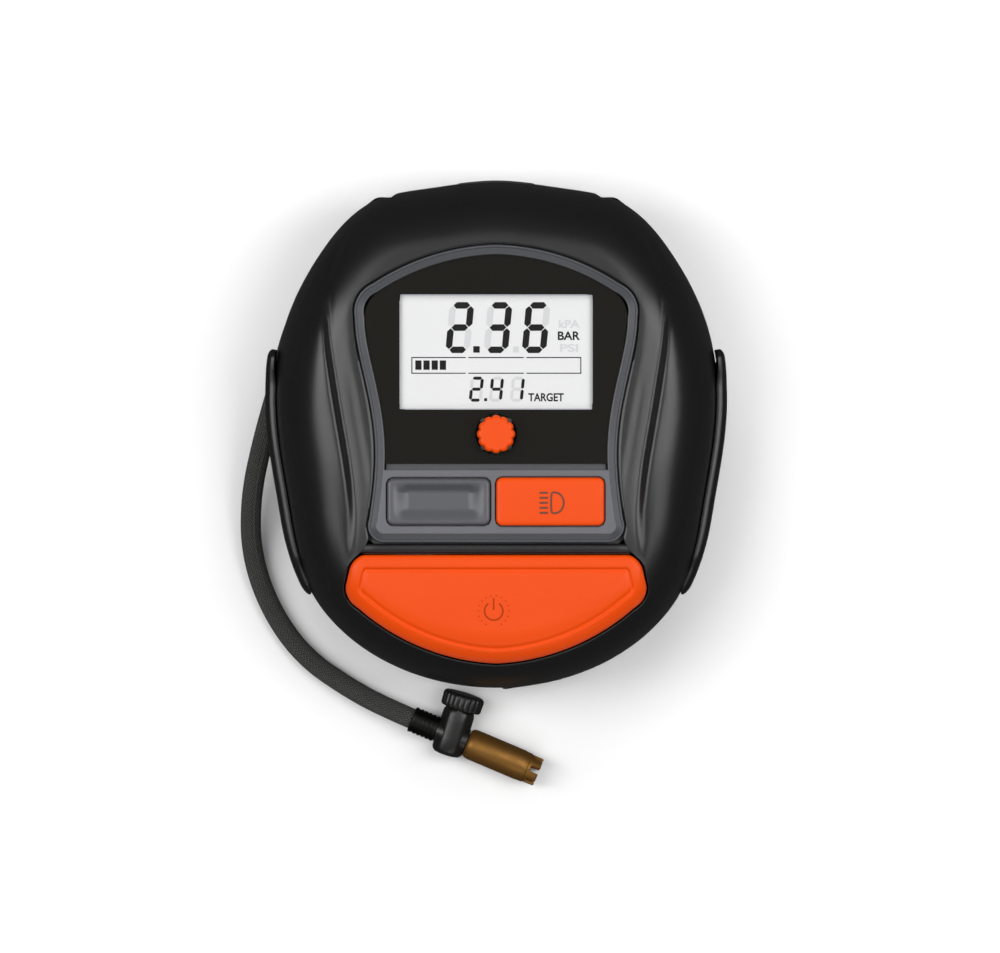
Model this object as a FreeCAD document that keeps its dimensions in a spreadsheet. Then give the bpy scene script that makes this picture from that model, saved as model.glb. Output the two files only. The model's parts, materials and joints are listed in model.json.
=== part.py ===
import FreeCAD, Part
import math
import os
import Sketcher
from FreeCAD import Placement, Rotation, Vector

# A hand-sized tyre inflator with a digital gauge.  The object lies on its back on four rubber feet with
# its face up: +X is to the right of the face, +Y towards its top edge and +Z out of the face.  The origin
# is on the ground under the middle of the housing.  Lengths are millimetres and angles are degrees.

DOC = FreeCAD.newDocument("TyreInflator")

DRIVING_SIZES = [
    # alias, value, what it drives
    ("body_half_width", 85.3, "half width of the front shell at its widest"),
    ("body_half_length", 97.5, "half length of the housing, top edge to bottom edge"),
    ("wall", 2.6, "moulded wall of both shells"),
    ("foot_height", 2.5, "how far the feet lift the rear shell"),
    ("foot_radius", 7.0, "rubber foot"),
    ("foot_x", 42.0, "feet from the middle, sideways"),
    ("foot_y", 45.0, "feet from the middle, lengthways"),
    ("groove_floor_z", 24.0, "top of the rear shell, lower side of the hose groove"),
    ("groove_roof_z", 35.0, "bottom of the front shell, upper side of the hose groove"),
    ("deck_z", 75.0, "flat deck of the front shell"),
    ("deck_scale", 0.76, "deck outline as a share of the housing outline"),
    ("rear_rim_scale", 0.965, "rear shell's rim as a share of the housing outline"),
    ("rear_floor_scale", 0.80, "rear shell's flat bottom as a share of the outline"),
    ("ring_outer_scale", 0.90, "outer face of the groove ring"),
    ("ring_inner_scale", 0.875, "inner face of the groove ring"),
    ("lip_scale", 0.905, "opening in both shells that the groove ring stands in"),
    ("lip_thickness", 2.0, "lips of both shells beside the groove"),
    ("post_radius", 4.2, "screw posts"),
    ("screw_radius", 1.4, "shank of the self-tapping screws"),
    ("guard_low_z", 33.3, "underside of the hose guards"),
    ("guard_high_z", 50.0, "upper edge of the hose guards"),
    ("guard_top_y", 29.5, "upper end of the hose guards"),
    ("guard_bottom_y", -60.0, "lower end of the hose guards"),
    ("guard_gap_scale", 1.012, "inner face of a hose guard"),
    ("guard_outer_scale", 1.042, "outer face of a hose guard"),
    ("bezel_z", 70.5, "underside of the bezel"),
    ("bezel_height", 5.7, "bezel, underside to rim"),
    ("bezel_flange", 1.8, "bezel flange hooked under the deck"),
    ("bezel_flange_height", 1.6, "thickness of that flange"),
    ("fit_gap", 0.3, "gap round pressed-in and moving trim"),
    ("mask_z", 73.6, "underside of the display mask"),
    ("mask_height", 1.5, "thickness of the display mask"),
    ("mask_foot_y", -11.5, "lower edge of the display mask"),
    ("window_width", 73.4, "clear window over the display"),
    ("window_height", 43.6, "clear window over the display"),
    ("window_y", 31.4, "middle of the display above the knob"),
    ("knob_radius", 7.55, "pressure setting knob"),
    ("knob_height", 6.4, "knob above the mask"),
    ("knob_scallops", 12, "finger scallops round the knob"),
    ("key_floor_z", 70.0, "underside of the two small keys"),
    ("key_height", 7.6, "small keys, underside to top"),
    ("key_y", -25.8, "middle of the two small keys"),
    ("light_key_x", 20.7, "middle of the lamp key"),
    ("light_key_width", 41.4, "lamp key"),
    ("light_key_length", 18.4, "lamp key"),
    ("unit_key_x", -22.0, "middle of the unit key"),
    ("unit_key_width", 39.4, "unit key"),
    ("unit_key_length", 17.8, "unit key"),
    ("board_z", 60.0, "underside of the main board"),
    ("board_thick", 1.6, "both circuit boards"),
    ("power_board_z", 56.0, "underside of the power key's board"),
    ("power_key_y", -64.0, "middle of the power key's switch"),
    ("engine_z", 32.0, "height of the motor, crank and cylinder axes"),
    ("motor_x", -34.0, "motor axis"),
    ("motor_radius", 18.0, "motor can"),
    ("gear_module", 0.8, "module of the crank drive"),
    ("pinion_teeth", 12, "teeth on the motor pinion"),
    ("crank_teeth", 48, "teeth on the crank gear"),
    ("crank_throw", 5.5, "crank pin from the crank axis, half the stroke"),
    ("rod_length", 42.0, "crank pin to wrist pin"),
    ("rod_y", 18.0, "plane of the connecting rod and cylinder axis"),
    ("bore_radius", 12.5, "compressor cylinder bore"),
    ("hose_radius", 3.925, "braided air hose"),
    ("hose_z", 28.7, "hose centreline where it lies in the groove"),
    ("fitting_angle", -23.0, "hose fitting, turned about +Z from +X"),
    ("fitting_tilt", 5.0, "release branch, tilted up from the ground"),
    ("branch_lean", 5.5, "release branch, leaned back towards the ferrule"),
    ("branch_x", 16.8, "release branch from the start of the ferrule"),
    ("fitting_x", -32.6, "start of the hose ferrule"),
    ("fitting_y", -109.9, "start of the hose ferrule"),
    ("fitting_z", 7.05, "axis of the hose fitting above the ground"),
    ("chuck_radius", 6.0, "brass chuck"),
    ("chuck_start", 23.3, "brass chuck from the start of the ferrule"),
    ("chuck_length", 29.9, "brass chuck"),
    ("thread_radius", 3.85, "chuck's valve thread, 8V1"),
]

SHEET = DOC.addObject("Spreadsheet::Sheet", "dims")
for row, (alias, value, purpose) in enumerate(DRIVING_SIZES, start=1):
    SHEET.set(f"A{row}", purpose)
    SHEET.set(f"B{row}", str(value))
    SHEET.setAlias(f"B{row}", alias)
DOC.recompute()

# Half of the housing's outline, top to bottom, as shares of its half width and half length.
OUTLINE = [
    (0.0, 1.0),
    (0.30, 0.972),
    (0.55, 0.922),
    (0.80, 0.705),
    (0.953, 0.43),
    (1.0, 0.105),
    (0.943, -0.267),
    (0.835, -0.62),
    (0.65, -0.81),
    (0.34, -0.954),
    (0.0, -1.0),
]
POSTS = [(62.0, 44.0), (-62.0, 44.0), (58.0, -40.0), (-58.0, -40.0), (0.0, 73.0)]
BOARD_POSTS = [(46.0, 40.0), (-46.0, 40.0), (44.5, -39.0), (-44.5, -39.0)]
POWER_POSTS = [(27.0, -72.0), (-27.0, -72.0)]
POWER_SPRINGS = [(27.0, -55.0), (-27.0, -55.0)]
MOUNTS = [(-46.0, 12.0), (-46.0, 32.0), (12.0, 12.0), (12.0, 32.0)]
NODES = []


# ---------------------------------------------------------------- helpers


def dim(alias):
    """The plain number in a cell of the sheet."""
    return float(SHEET.get(alias))


def node(item, name):
    """Marks a document object as a finished sub-part called name."""
    item.Label = name
    NODES.append(item)
    return item


def place(item, x="0", y="0", z="0", rotation=None):
    """Puts an object at a place given by expressions, turned if asked."""
    item.Placement = Placement(Vector(), rotation or Rotation())
    for axis, expression in zip("xyz", (x, y, z)):
        item.setExpression(f"Placement.Base.{axis}", str(expression))
    return item


def bind(item, **expressions):
    """Binds properties to expressions over the sheet."""
    for path, expression in expressions.items():
        item.setExpression(path, str(expression))
    return item


ALONG = {
    "X": Rotation(Vector(0, 0, 1), Vector(1, 0, 0)),
    "Y": Rotation(Vector(0, 0, 1), Vector(0, 1, 0)),
    "Z": Rotation(),
}


def box(name, length, width, height, x="0", y="0", z="0"):
    """A box centred on x and y that stands on z."""
    item = bind(DOC.addObject("Part::Box", name), Length=length, Width=width, Height=height)
    return place(item, f"({x}) - ({length}) / 2", f"({y}) - ({width}) / 2", z)


def rod(name, radius, length, x="0", y="0", z="0", along="Z"):
    """A cylinder that starts at x, y, z and runs along one axis."""
    item = bind(DOC.addObject("Part::Cylinder", name), Radius=radius, Height=length)
    return place(item, x, y, z, ALONG[along])


def fuse(name, *pieces):
    """One solid from pieces that touch."""
    item = DOC.addObject("Part::MultiFuse", name)
    item.Shapes = list(pieces)
    item.Refine = True
    return item


def group(name, pieces):
    """Separate solids kept together in one sub-part."""
    item = DOC.addObject("Part::Compound", name)
    item.Links = list(pieces)
    return item


def cut(name, base, *tools):
    """The base with the tools taken out of it."""
    item = DOC.addObject("Part::Cut", name)
    item.Base = base
    item.Tool = tools[0] if len(tools) == 1 else fuse(name + "_tools", *tools)
    item.Refine = True
    return item


def tube(name, outer, inner, length, x="0", y="0", z="0", along="Z"):
    """A round tube, solid outside and open at both ends."""
    shell = rod(name + "_outside", outer, length, x, y, z, along)
    return cut(name, shell, rod(name + "_bore", inner, length, x, y, z, along))


def shaped(name, shape):
    """A Part::Feature for a shape that no sketch or primitive gives."""
    item = DOC.addObject("Part::Feature", name)
    item.Shape = shape
    return item


class Block:
    """A PartDesign body made of sketches that lie parallel to its own XY plane."""

    def __init__(self, name, x="0", y="0", z="0"):
        self.body = place(DOC.addObject("PartDesign::Body", name), x, y, z)
        DOC.recompute()
        self.plane = next(f for f in self.body.Origin.OriginFeatures if f.Role == "XY_Plane")

    def sketch(self, height="0"):
        """An empty sketch at a height above the body's XY plane."""
        sketch = self.body.newObject("Sketcher::SketchObject", self.body.Name + "_sketch")
        sketch.AttachmentSupport = (self.plane, [""])
        sketch.MapMode = "FlatFace"
        sketch.setExpression("AttachmentOffset.Base.z", str(height))
        return sketch

    def pad(self, sketch, length):
        """Adds material upwards from a sketch."""
        pad = self.body.newObject("PartDesign::Pad", self.body.Name + "_pad")
        pad.Profile = sketch
        pad.setExpression("Length", str(length))
        DOC.recompute()
        return pad

    def pocket(self, sketch, depth):
        """Takes material away downwards from a sketch."""
        before = self.body.Shape.Volume
        pocket = self.body.newObject("PartDesign::Pocket", self.body.Name + "_pocket")
        pocket.Profile = sketch
        pocket.setExpression("Length", str(depth))
        DOC.recompute()
        if self.body.Shape.Volume > before - 1e-6:
            raise RuntimeError(f"a pocket in {self.body.Name} cuts nothing")
        return pocket

    def round_edges(self, radius, chosen):
        """Fillets the edges that chosen says yes to."""
        tip = self.body.Tip
        names = [f"Edge{i}" for i, edge in enumerate(tip.Shape.Edges, start=1) if chosen(edge)]
        fillet = self.body.newObject("PartDesign::Fillet", self.body.Name + "_fillet")
        fillet.Base = (tip, names)
        fillet.setExpression("Radius", str(radius))
        DOC.recompute()
        return fillet


def upright(edge):
    """True for a straight edge along Z."""
    first, last = edge.Vertexes[0].Point, edge.Vertexes[-1].Point
    flat = math.hypot(first.x - last.x, first.y - last.y)
    return flat < 1e-6 and abs(first.z - last.z) > 1e-6


def draw_rectangle(sketch, width, height, x="0", y="0"):
    """A rectangle centred on x, y, held by constraints that read the sheet."""
    first = sketch.GeometryCount
    corners = [Vector(-1, -1, 0), Vector(1, -1, 0), Vector(1, 1, 0), Vector(-1, 1, 0)]
    for start, end in zip(corners, corners[1:] + corners[:1]):
        sketch.addGeometry(Part.LineSegment(start, end))
    for side in range(4):
        sketch.addConstraint(
            Sketcher.Constraint("Coincident", first + side, 2, first + (side + 1) % 4, 1)
        )
        kind = "Horizontal" if side % 2 == 0 else "Vertical"
        sketch.addConstraint(Sketcher.Constraint(kind, first + side))
    driven = [
        (Sketcher.Constraint("DistanceX", first, 1, first, 2, 2.0), width),
        (Sketcher.Constraint("DistanceY", first + 1, 1, first + 1, 2, 2.0), height),
        (Sketcher.Constraint("DistanceX", -1, 1, first, 1, -1.0), f"({x}) - ({width}) / 2"),
        (Sketcher.Constraint("DistanceY", -1, 1, first, 1, -1.0), f"({y}) - ({height}) / 2"),
    ]
    for constraint, expression in driven:
        index = sketch.addConstraint(constraint)
        sketch.setExpression(f"Constraints[{index}]", str(expression))


def draw_circle(sketch, radius, x="0", y="0"):
    """A circle held by constraints that read the sheet."""
    circle = sketch.addGeometry(Part.Circle(Vector(1, 1, 0), Vector(0, 0, 1), 1))
    driven = [
        (Sketcher.Constraint("Radius", circle, 1.0), radius),
        (Sketcher.Constraint("DistanceX", -1, 1, circle, 3, 1.0), x),
        (Sketcher.Constraint("DistanceY", -1, 1, circle, 3, 1.0), y),
    ]
    for constraint, expression in driven:
        index = sketch.addConstraint(constraint)
        sketch.setExpression(f"Constraints[{index}]", str(expression))


def draw_outline(sketch, wire):
    """A closed outline of lines, arcs and curves, as it stands."""
    for edge in wire.Edges:
        curve = edge.Curve
        if not isinstance(curve, Part.BSplineCurve) or not curve.isPeriodic():
            curve = curve.trim(*edge.ParameterRange)
        sketch.addGeometry(curve)


# ---------------------------------------------------------------- housing


def outline(scale, height):
    """The housing's egg-shaped outline at a scale, as a wire at a height."""
    wide, long = dim("body_half_width") * scale, dim("body_half_length") * scale
    right = [Vector(x * wide, y * long, height) for x, y in OUTLINE]
    left = [Vector(-p.x, p.y, height) for p in reversed(right[1:-1])]
    curve = Part.BSplineCurve()
    curve.interpolate(right + left, PeriodicFlag=True)
    return Part.Wire(curve.toShape())


def prism(wire, height):
    """A solid straight up from a closed flat wire."""
    return Part.Face(wire).extrude(Vector(0, 0, height))


def lofted(sections):
    """A smooth solid through outlines given as (scale, height)."""
    return Part.makeLoft([outline(scale, height) for scale, height in sections], True, False)


def rounded_sections(rim, flat, share_inwards=0.0):
    """Outlines that turn from an upright rim into a flat face on a superellipse.

    rim and flat are (scale, height); share_inwards makes every outline that much smaller.
    """
    exponent_in, exponent_up = 2 / 2.3, 2 / 2.2
    sections = []
    for angle in (0, 22, 42, 60, 77, 90):
        turn = math.radians(angle)
        inwards = math.cos(turn) ** exponent_in if angle < 90 else 0.0
        upwards = math.sin(turn) ** exponent_up
        scale = flat[0] + (rim[0] - flat[0]) * inwards - share_inwards
        sections.append((scale, rim[1] + (flat[1] - rim[1]) * upwards))
    return sections


def wall_share():
    """The shells' wall as a share of the outline."""
    return dim("wall") / dim("body_half_width")


def front_dome(lift=0.0):
    """The solid inside the front shell's outer skin, raised by lift."""
    rim, deck = (1.0, dim("groove_roof_z")), (dim("deck_scale"), dim("deck_z") + lift)
    return lofted(rounded_sections(rim, deck))


def hole(radius, low, high, x, y):
    """An upright round cutter."""
    return Part.makeCylinder(radius, high - low, Vector(x, y, low))


def block_between(low, high):
    """A box between two opposite corners."""
    size = high - low
    return Part.makeBox(size.x, size.y, size.z, low)


LAMP_LOW = Vector(-15.0, 78.0, 40.0)
LAMP_HIGH = Vector(15.0, 100.0, 48.0)


def front_shell():
    """Domed front cover with openings for the bezel, the power key and the lamp."""
    roof, lip = dim("groove_roof_z"), dim("lip_thickness")
    wall = dim("wall")
    rim = (1.0, roof + lip)
    deck = (dim("deck_scale"), dim("deck_z") - wall)
    skin = front_dome()
    cavity = lofted(rounded_sections(rim, deck, wall_share()))
    posts = [
        hole(dim("post_radius"), dim("groove_floor_z") + 0.2, dim("deck_z") - 1, x, y) for x, y in POSTS
    ]
    lip_opening = prism(outline(dim("lip_scale"), roof - 1), lip + 2)
    shell = skin.cut(Part.Compound([cavity, lip_opening]))
    pillars = [post.common(cavity.fuse(lip_opening)) for post in posts]
    shell = shell.fuse(pillars)
    gap = dim("fit_gap")
    bezel = prism(bezel_wire(gap, dim("bezel_z") - 1), 10)
    key = prism(power_key_wire(0.5, roof + 4), 60)
    lamp = block_between(LAMP_LOW, LAMP_HIGH)
    tapped = [
        hole(dim("screw_radius"), dim("groove_floor_z"), dim("groove_roof_z") + 20, x, y)
        for x, y in POSTS
    ]
    hook = dim("bezel_flange") + gap
    relief = prism(bezel_wire(hook, dim("bezel_z") - 0.3), dim("bezel_flange_height") + 0.5)
    shell = shell.cut(Part.Compound([bezel, key, lamp])).cut(relief)
    node(shaped("front_shell", shell.cut(Part.Compound(tapped)).removeSplitter()), "front_shell")


def rear_shell():
    """Bowl that closes the back, with screw wells, board posts and cooling slots."""
    low, high, wall = dim("foot_height"), dim("groove_floor_z"), dim("wall")
    lip = dim("lip_thickness")
    rim, floor = (dim("rear_rim_scale"), high), (dim("rear_floor_scale"), low)
    skin = lofted(rounded_sections(rim, floor))
    inner_rim, inner_floor = (rim[0], high - lip), (floor[0], low + wall)
    cavity = lofted(rounded_sections(inner_rim, inner_floor, wall_share()))
    opening = prism(outline(dim("lip_scale"), high - lip - 1), lip + 2)
    shell = skin.cut(Part.Compound([cavity, opening]))
    wells = [hole(dim("post_radius"), low + 1, high - 0.2, x, y) for x, y in POSTS]
    stands = [hole(3.0, low + 1, dim("power_board_z"), x, y) for x, y in POWER_POSTS]
    shell = shell.fuse(wells + stands)
    screw_ways = [hole(dim("screw_radius") + 0.2, low - 1, high + 1, x, y) for x, y in POSTS]
    heads = [hole(3.2, low - 1, low + 8, x, y) for x, y in POSTS]
    pilot = [hole(1.0, dim("power_board_z") - 9, dim("power_board_z") + 1, x, y) for x, y in POWER_POSTS]
    foot_seats = [
        hole(dim("foot_radius") + 0.1, low - 1, low + 1.2, sx * dim("foot_x"), sy * dim("foot_y"))
        for sx in (-1, 1)
        for sy in (-1, 1)
    ]
    slots = [
        block_between(Vector(side * 16 - 12, y - 1.4, low - 1), Vector(side * 16 + 12, y + 1.4, low + 4))
        for side in (-1, 1)
        for y in range(-28, 29, 8)
    ]
    lead = Part.makeCylinder(5.0, 20, Vector(0, 80, 13), Vector(0, 1, 0))
    cutters = screw_ways + heads + pilot + foot_seats + slots + [lead]
    node(shaped("rear_shell", shell.cut(cutters).removeSplitter()), "rear_shell")


def groove_ring():
    """Wall of the hose groove, standing in the lips of both shells."""
    low = dim("groove_floor_z") - 1.8
    height = dim("groove_roof_z") + 1.8 - low
    outer = prism(outline(dim("ring_outer_scale"), low), height)
    inner = prism(outline(dim("ring_inner_scale"), low - 1), height + 2)
    stub = Part.makeCylinder(3.6, 20, Vector(3, -75, dim("hose_z")), Vector(0, -1, 0))
    node(shaped("hose_groove_ring", outer.cut(inner).cut(stub)), "hose_groove_ring")


def hose_guards():
    """Thin upright guards at both sides that keep the stored hose in its groove."""
    low, high = dim("guard_low_z"), dim("guard_high_z")
    web_height = dim("groove_roof_z") - 0.2 - low
    blade = prism(outline(dim("guard_outer_scale"), low), high - low)
    blade = blade.cut(prism(outline(dim("guard_gap_scale"), low - 1), high - low + 2))
    web = prism(outline(dim("guard_outer_scale"), low), web_height)
    web = web.cut(prism(outline(dim("lip_scale"), low - 1), web_height + 2))
    whole = blade.fuse(web)
    for side, name in ((-1, "left_hose_guard"), (1, "right_hose_guard")):
        ends = sorted((side * 60.0, side * 95.0))
        reach = block_between(
            Vector(ends[0], dim("guard_bottom_y"), 0), Vector(ends[1], dim("guard_top_y"), 100)
        )
        node(shaped(name, whole.common(reach).removeSplitter()), name)


def feet_and_screws():
    """Four rubber feet and the screws that join the shells."""
    feet = [
        rod(
            "foot",
            "dims.foot_radius",
            "dims.foot_height + 1.2",
            f"{sx} * dims.foot_x",
            f"{sy} * dims.foot_y",
        )
        for sx in (-1, 1)
        for sy in (-1, 1)
    ]
    node(group("rubber_feet", feet), "rubber_feet")
    screws = []
    for x, y in POSTS:
        head = rod("screw_head", 2.8, 2.2, x, y, "dims.foot_height + 5.8")
        shank = rod("screw_shank", "dims.screw_radius", 30, x, y, "dims.foot_height + 8")
        screws.append(fuse("housing_screw", head, shank))
    node(group("housing_screws", screws), "housing_screws")


def lead_grommet():
    """Rubber grommet for the supply lead, in the rear shell's top side."""
    z = 13
    collar = rod("grommet_collar", 4.95, 14.5, "0", 81, z, "Y")
    outside = rod("grommet_flange", 6.6, 2.5, "0", 94.4, z, "Y")
    inside = rod("grommet_inner_flange", 5.6, 1.6, "0", 81, z, "Y")
    whole = fuse("grommet_body", collar, outside, inside)
    lead_way = rod("lead_way", 2.8, 30, "0", 80, z, "Y")
    node(cut("lead_grommet", whole, lead_way), "lead_grommet")


# ---------------------------------------------------------------- display and keys


def mirrored_wire(right_edges, height):
    """A closed wire from right-hand edges that run from the top to the bottom of the Y axis."""
    mirror = FreeCAD.Matrix()
    mirror.A11 = -1
    left = [edge.transformGeometry(mirror) for edge in right_edges]
    wire = Part.Wire(Part.__sortEdges__(right_edges + left))
    wire.translate(Vector(0, 0, height))
    return wire


def bezel_wire(grow=0.0, height=0.0):
    """Outline of the bezel: an arched top, a waist and two rounded lower corners."""
    top = [Vector(0, 72.5 + grow, 0), Vector(24.0, 68.6 + grow, 0), Vector(47.2 + grow, 57.6 + grow, 0)]
    shoulder = [top[2], Vector(52.6 + grow, 53.0 + grow * 0.6, 0), Vector(54.1 + grow, 44.5, 0)]
    side = [
        shoulder[2],
        Vector(51.6 + grow, 27.0, 0),
        Vector(47.6 + grow, 8.0, 0),
        Vector(46.3 + grow, -10.0, 0),
        Vector(48.6 + grow, -32.5, 0),
    ]
    corner = [side[4], Vector(47.6 + grow, -39.2 - grow * 0.7, 0), Vector(42.0, -41.4 - grow, 0)]
    waist = Part.BSplineCurve()
    waist.interpolate(side)
    edges = [
        Part.Arc(*top).toShape(),
        Part.Arc(*shoulder).toShape(),
        waist.toShape(),
        Part.Arc(*corner).toShape(),
        Part.LineSegment(corner[2], Vector(0, -41.4 - grow, 0)).toShape(),
    ]
    return mirrored_wire(edges, height)


def mask_wire(shrink=0.0, height=0.0):
    """Outline of the dark display mask: the bezel's arch and waist, cut straight at its foot."""
    foot = dim("mask_foot_y") + shrink
    top = [Vector(0, 69.0 - shrink, 0), Vector(23.0, 65.2 - shrink, 0), Vector(45.0 - shrink, 54.4, 0)]
    shoulder = [top[2], Vector(49.0 - shrink, 50.2, 0), Vector(50.3 - shrink, 44.0, 0)]
    side = [
        shoulder[2],
        Vector(47.6 - shrink, 26.0, 0),
        Vector(44.0 - shrink, 8.0, 0),
        Vector(42.9 - shrink, foot, 0),
    ]
    waist = Part.BSplineCurve()
    waist.interpolate(side)
    edges = [
        Part.Arc(*top).toShape(),
        Part.Arc(*shoulder).toShape(),
        waist.toShape(),
        Part.LineSegment(side[3], Vector(0, foot, 0)).toShape(),
    ]
    return mirrored_wire(edges, height)


def power_key_wire(grow=0.0, height=0.0):
    """Outline of the power key: a straight top edge over a wide arc."""
    top, low = -46.1 + grow, -87.9 - grow
    shoulder = [
        Vector(51.0, top, 0),
        Vector(54.6 + grow, -48.6 + grow * 0.5, 0),
        Vector(56.4 + grow, -52.8, 0),
    ]
    hip = [
        Vector(57.7 + grow, -58.3, 0),
        Vector(56.6 + grow, -62.9 - grow * 0.3, 0),
        Vector(52.9 + grow * 0.6, -66.6 - grow * 0.7, 0),
    ]
    belly = [hip[2], Vector(28.5, -81.7 - grow, 0), Vector(0, low, 0)]
    edges = [
        Part.LineSegment(Vector(0, top, 0), shoulder[0]).toShape(),
        Part.Arc(*shoulder).toShape(),
        Part.LineSegment(shoulder[2], hip[0]).toShape(),
        Part.Arc(*hip).toShape(),
        Part.Arc(*belly).toShape(),
    ]
    return mirrored_wire(edges, height)


def display_bezel():
    """Grey frame round the display and the two small keys, with screw bosses for the board."""
    bezel = Block("bezel_block", z="dims.bezel_z")
    flange = bezel.sketch()
    draw_outline(flange, bezel_wire(dim("bezel_flange")))
    bezel.pad(flange, "dims.bezel_flange_height")
    frame = bezel.sketch()
    draw_outline(frame, bezel_wire())
    bezel.pad(frame, "dims.bezel_height")
    seat = bezel.sketch("dims.bezel_height")
    draw_outline(seat, mask_wire())
    bezel.pocket(seat, "dims.bezel_z + dims.bezel_height - dims.mask_z")
    glass = bezel.sketch("dims.bezel_height")
    draw_rectangle(glass, "dims.window_width + 5.4", "dims.window_height + 5.2", y="dims.window_y")
    bezel.pocket(glass, 20)
    shaft = bezel.sketch("dims.bezel_height")
    draw_circle(shaft, "dims.knob_radius + 0.9")
    bezel.pocket(shaft, 20)
    for side in ("light", "unit"):
        key = bezel.sketch("dims.bezel_height")
        draw_rectangle(
            key,
            f"dims.{side}_key_width + 2 * dims.fit_gap",
            f"dims.{side}_key_length + 2 * dims.fit_gap",
            f"dims.{side}_key_x",
            "dims.key_y",
        )
        bezel.pocket(key, 20)
        under = bezel.sketch("1.1")
        draw_rectangle(
            under,
            f"dims.{side}_key_width + 3.2",
            f"dims.{side}_key_length + 3.2",
            f"dims.{side}_key_x",
            "dims.key_y",
        )
        bezel.pocket(under, 1.1)
    bosses = [
        tube("bezel_boss", 2.8, "dims.screw_radius", 8.9, x, y, "dims.bezel_z - 8.8")
        for x, y in BOARD_POSTS
    ]
    node(fuse("bezel_with_bosses", bezel.body, *bosses), "display_bezel")


def display_stack():
    """Mask, clear window, glass, backlight and the carrier that stands on the board."""
    mask = Block("display_mask", z="dims.mask_z")
    face = mask.sketch()
    draw_outline(face, mask_wire(0.15))
    mask.pad(face, "dims.mask_height")
    window = mask.sketch("dims.mask_height")
    draw_rectangle(window, "dims.window_width", "dims.window_height", y="dims.window_y")
    mask.pocket(window, 5)
    shaft = mask.sketch("dims.mask_height")
    draw_circle(shaft, "dims.knob_radius + 0.4")
    mask.pocket(shaft, 5)
    node(mask.body, "display_mask")

    plate = ("dims.window_width - 0.2", "dims.window_height - 0.2", "dims.mask_height - 0.2")
    node(box("display_window", *plate, y="dims.window_y", z="dims.mask_z"), "display_window")
    glass = box("display_glass", 78.2, 48.2, 2.0, y="dims.window_y", z="dims.mask_z - 2.1")
    node(glass, "display_glass")
    outside = box("backlight_case", 77, 47, 9.7, y="dims.window_y", z="dims.board_z + 1.65")
    inside = box("backlight_hollow", 71, 41, 7, y="dims.window_y", z="dims.board_z + 0.65")
    node(cut("backlight_tray", outside, inside), "display_backlight")


def knob_and_encoder():
    """Scalloped knob on the shaft of a rotary encoder."""
    knob = Block("target_knob", z="dims.mask_z + 0.6")
    disc = knob.sketch()
    draw_circle(disc, "dims.knob_radius")
    knob.pad(disc, "dims.knob_height + 1")
    scallop = knob.sketch("dims.knob_height + 1")
    draw_circle(scallop, 1.5, "dims.knob_radius + 0.9")
    notch = knob.pocket(scallop, 20)
    pattern = knob.body.newObject("PartDesign::PolarPattern", "knob_pattern")
    pattern.Originals = [notch]
    pattern.Axis = (scallop, ["N_Axis"])
    pattern.setExpression("Occurrences", "dims.knob_scallops")
    knob.body.Tip = pattern
    DOC.recompute()
    seat = knob.sketch("dims.knob_height - 1")
    draw_circle(seat, 3.0)
    knob.pocket(seat, 20)
    node(knob.body, "target_knob")

    shaft = rod("encoder_shaft", 3.0, "dims.mask_z + dims.knob_height - 0.4 - 62.4", z=62.4)
    node(shaft, "encoder_shaft")
    case = box("encoder_case", 12, 12, 6, z="dims.board_z + dims.board_thick")
    way = rod("encoder_way", 3.08, 5.6, z="dims.board_z + dims.board_thick + 0.6")
    node(cut("encoder_body", case, way), "encoder_body")


def small_key(side, dish):
    """A hollow push key with a hidden flange; a dished one has a scooped top."""
    key = Block(f"{side}_key_block", f"dims.{side}_key_x", "dims.key_y", "dims.key_floor_z")
    face = key.sketch()
    draw_rectangle(face, f"dims.{side}_key_width", f"dims.{side}_key_length")
    key.pad(face, "dims.key_height")
    key.round_edges(1.9, upright)
    flange = key.sketch()
    draw_rectangle(flange, f"dims.{side}_key_width + 2", f"dims.{side}_key_length + 2")
    key.pad(flange, 1.4)
    hollow = key.sketch("dims.key_height - 3.2")
    draw_rectangle(hollow, f"dims.{side}_key_width - 4", f"dims.{side}_key_length - 4")
    key.pocket(hollow, 20)
    if not dish:
        return node(key.body, f"{side}_key")
    scoop = bind(DOC.addObject("Part::Ellipsoid", "key_scoop"), Radius1="2.1", Radius2="16.5", Radius3="7")
    place(scoop, f"dims.{side}_key_x", "dims.key_y", "dims.key_floor_z + dims.key_height + 0.3")
    return node(cut(f"{side}_key_dished", key.body, scoop), f"{side}_key")


def switch(name, x, y, floor, reach):
    """A tactile switch and the plunger that its key presses."""
    case = box(name + "_case", 10, 10, 4.2, x, y, floor)
    way = rod(name + "_way", 1.8, 4, x, y, f"{floor} + 1")
    stem = rod(name + "_stem_rod", 1.6, f"{reach} - ({floor}) - 2.8", x, y, f"{floor} + 2.8")
    return cut(name + "_body", case, way), stem


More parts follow.
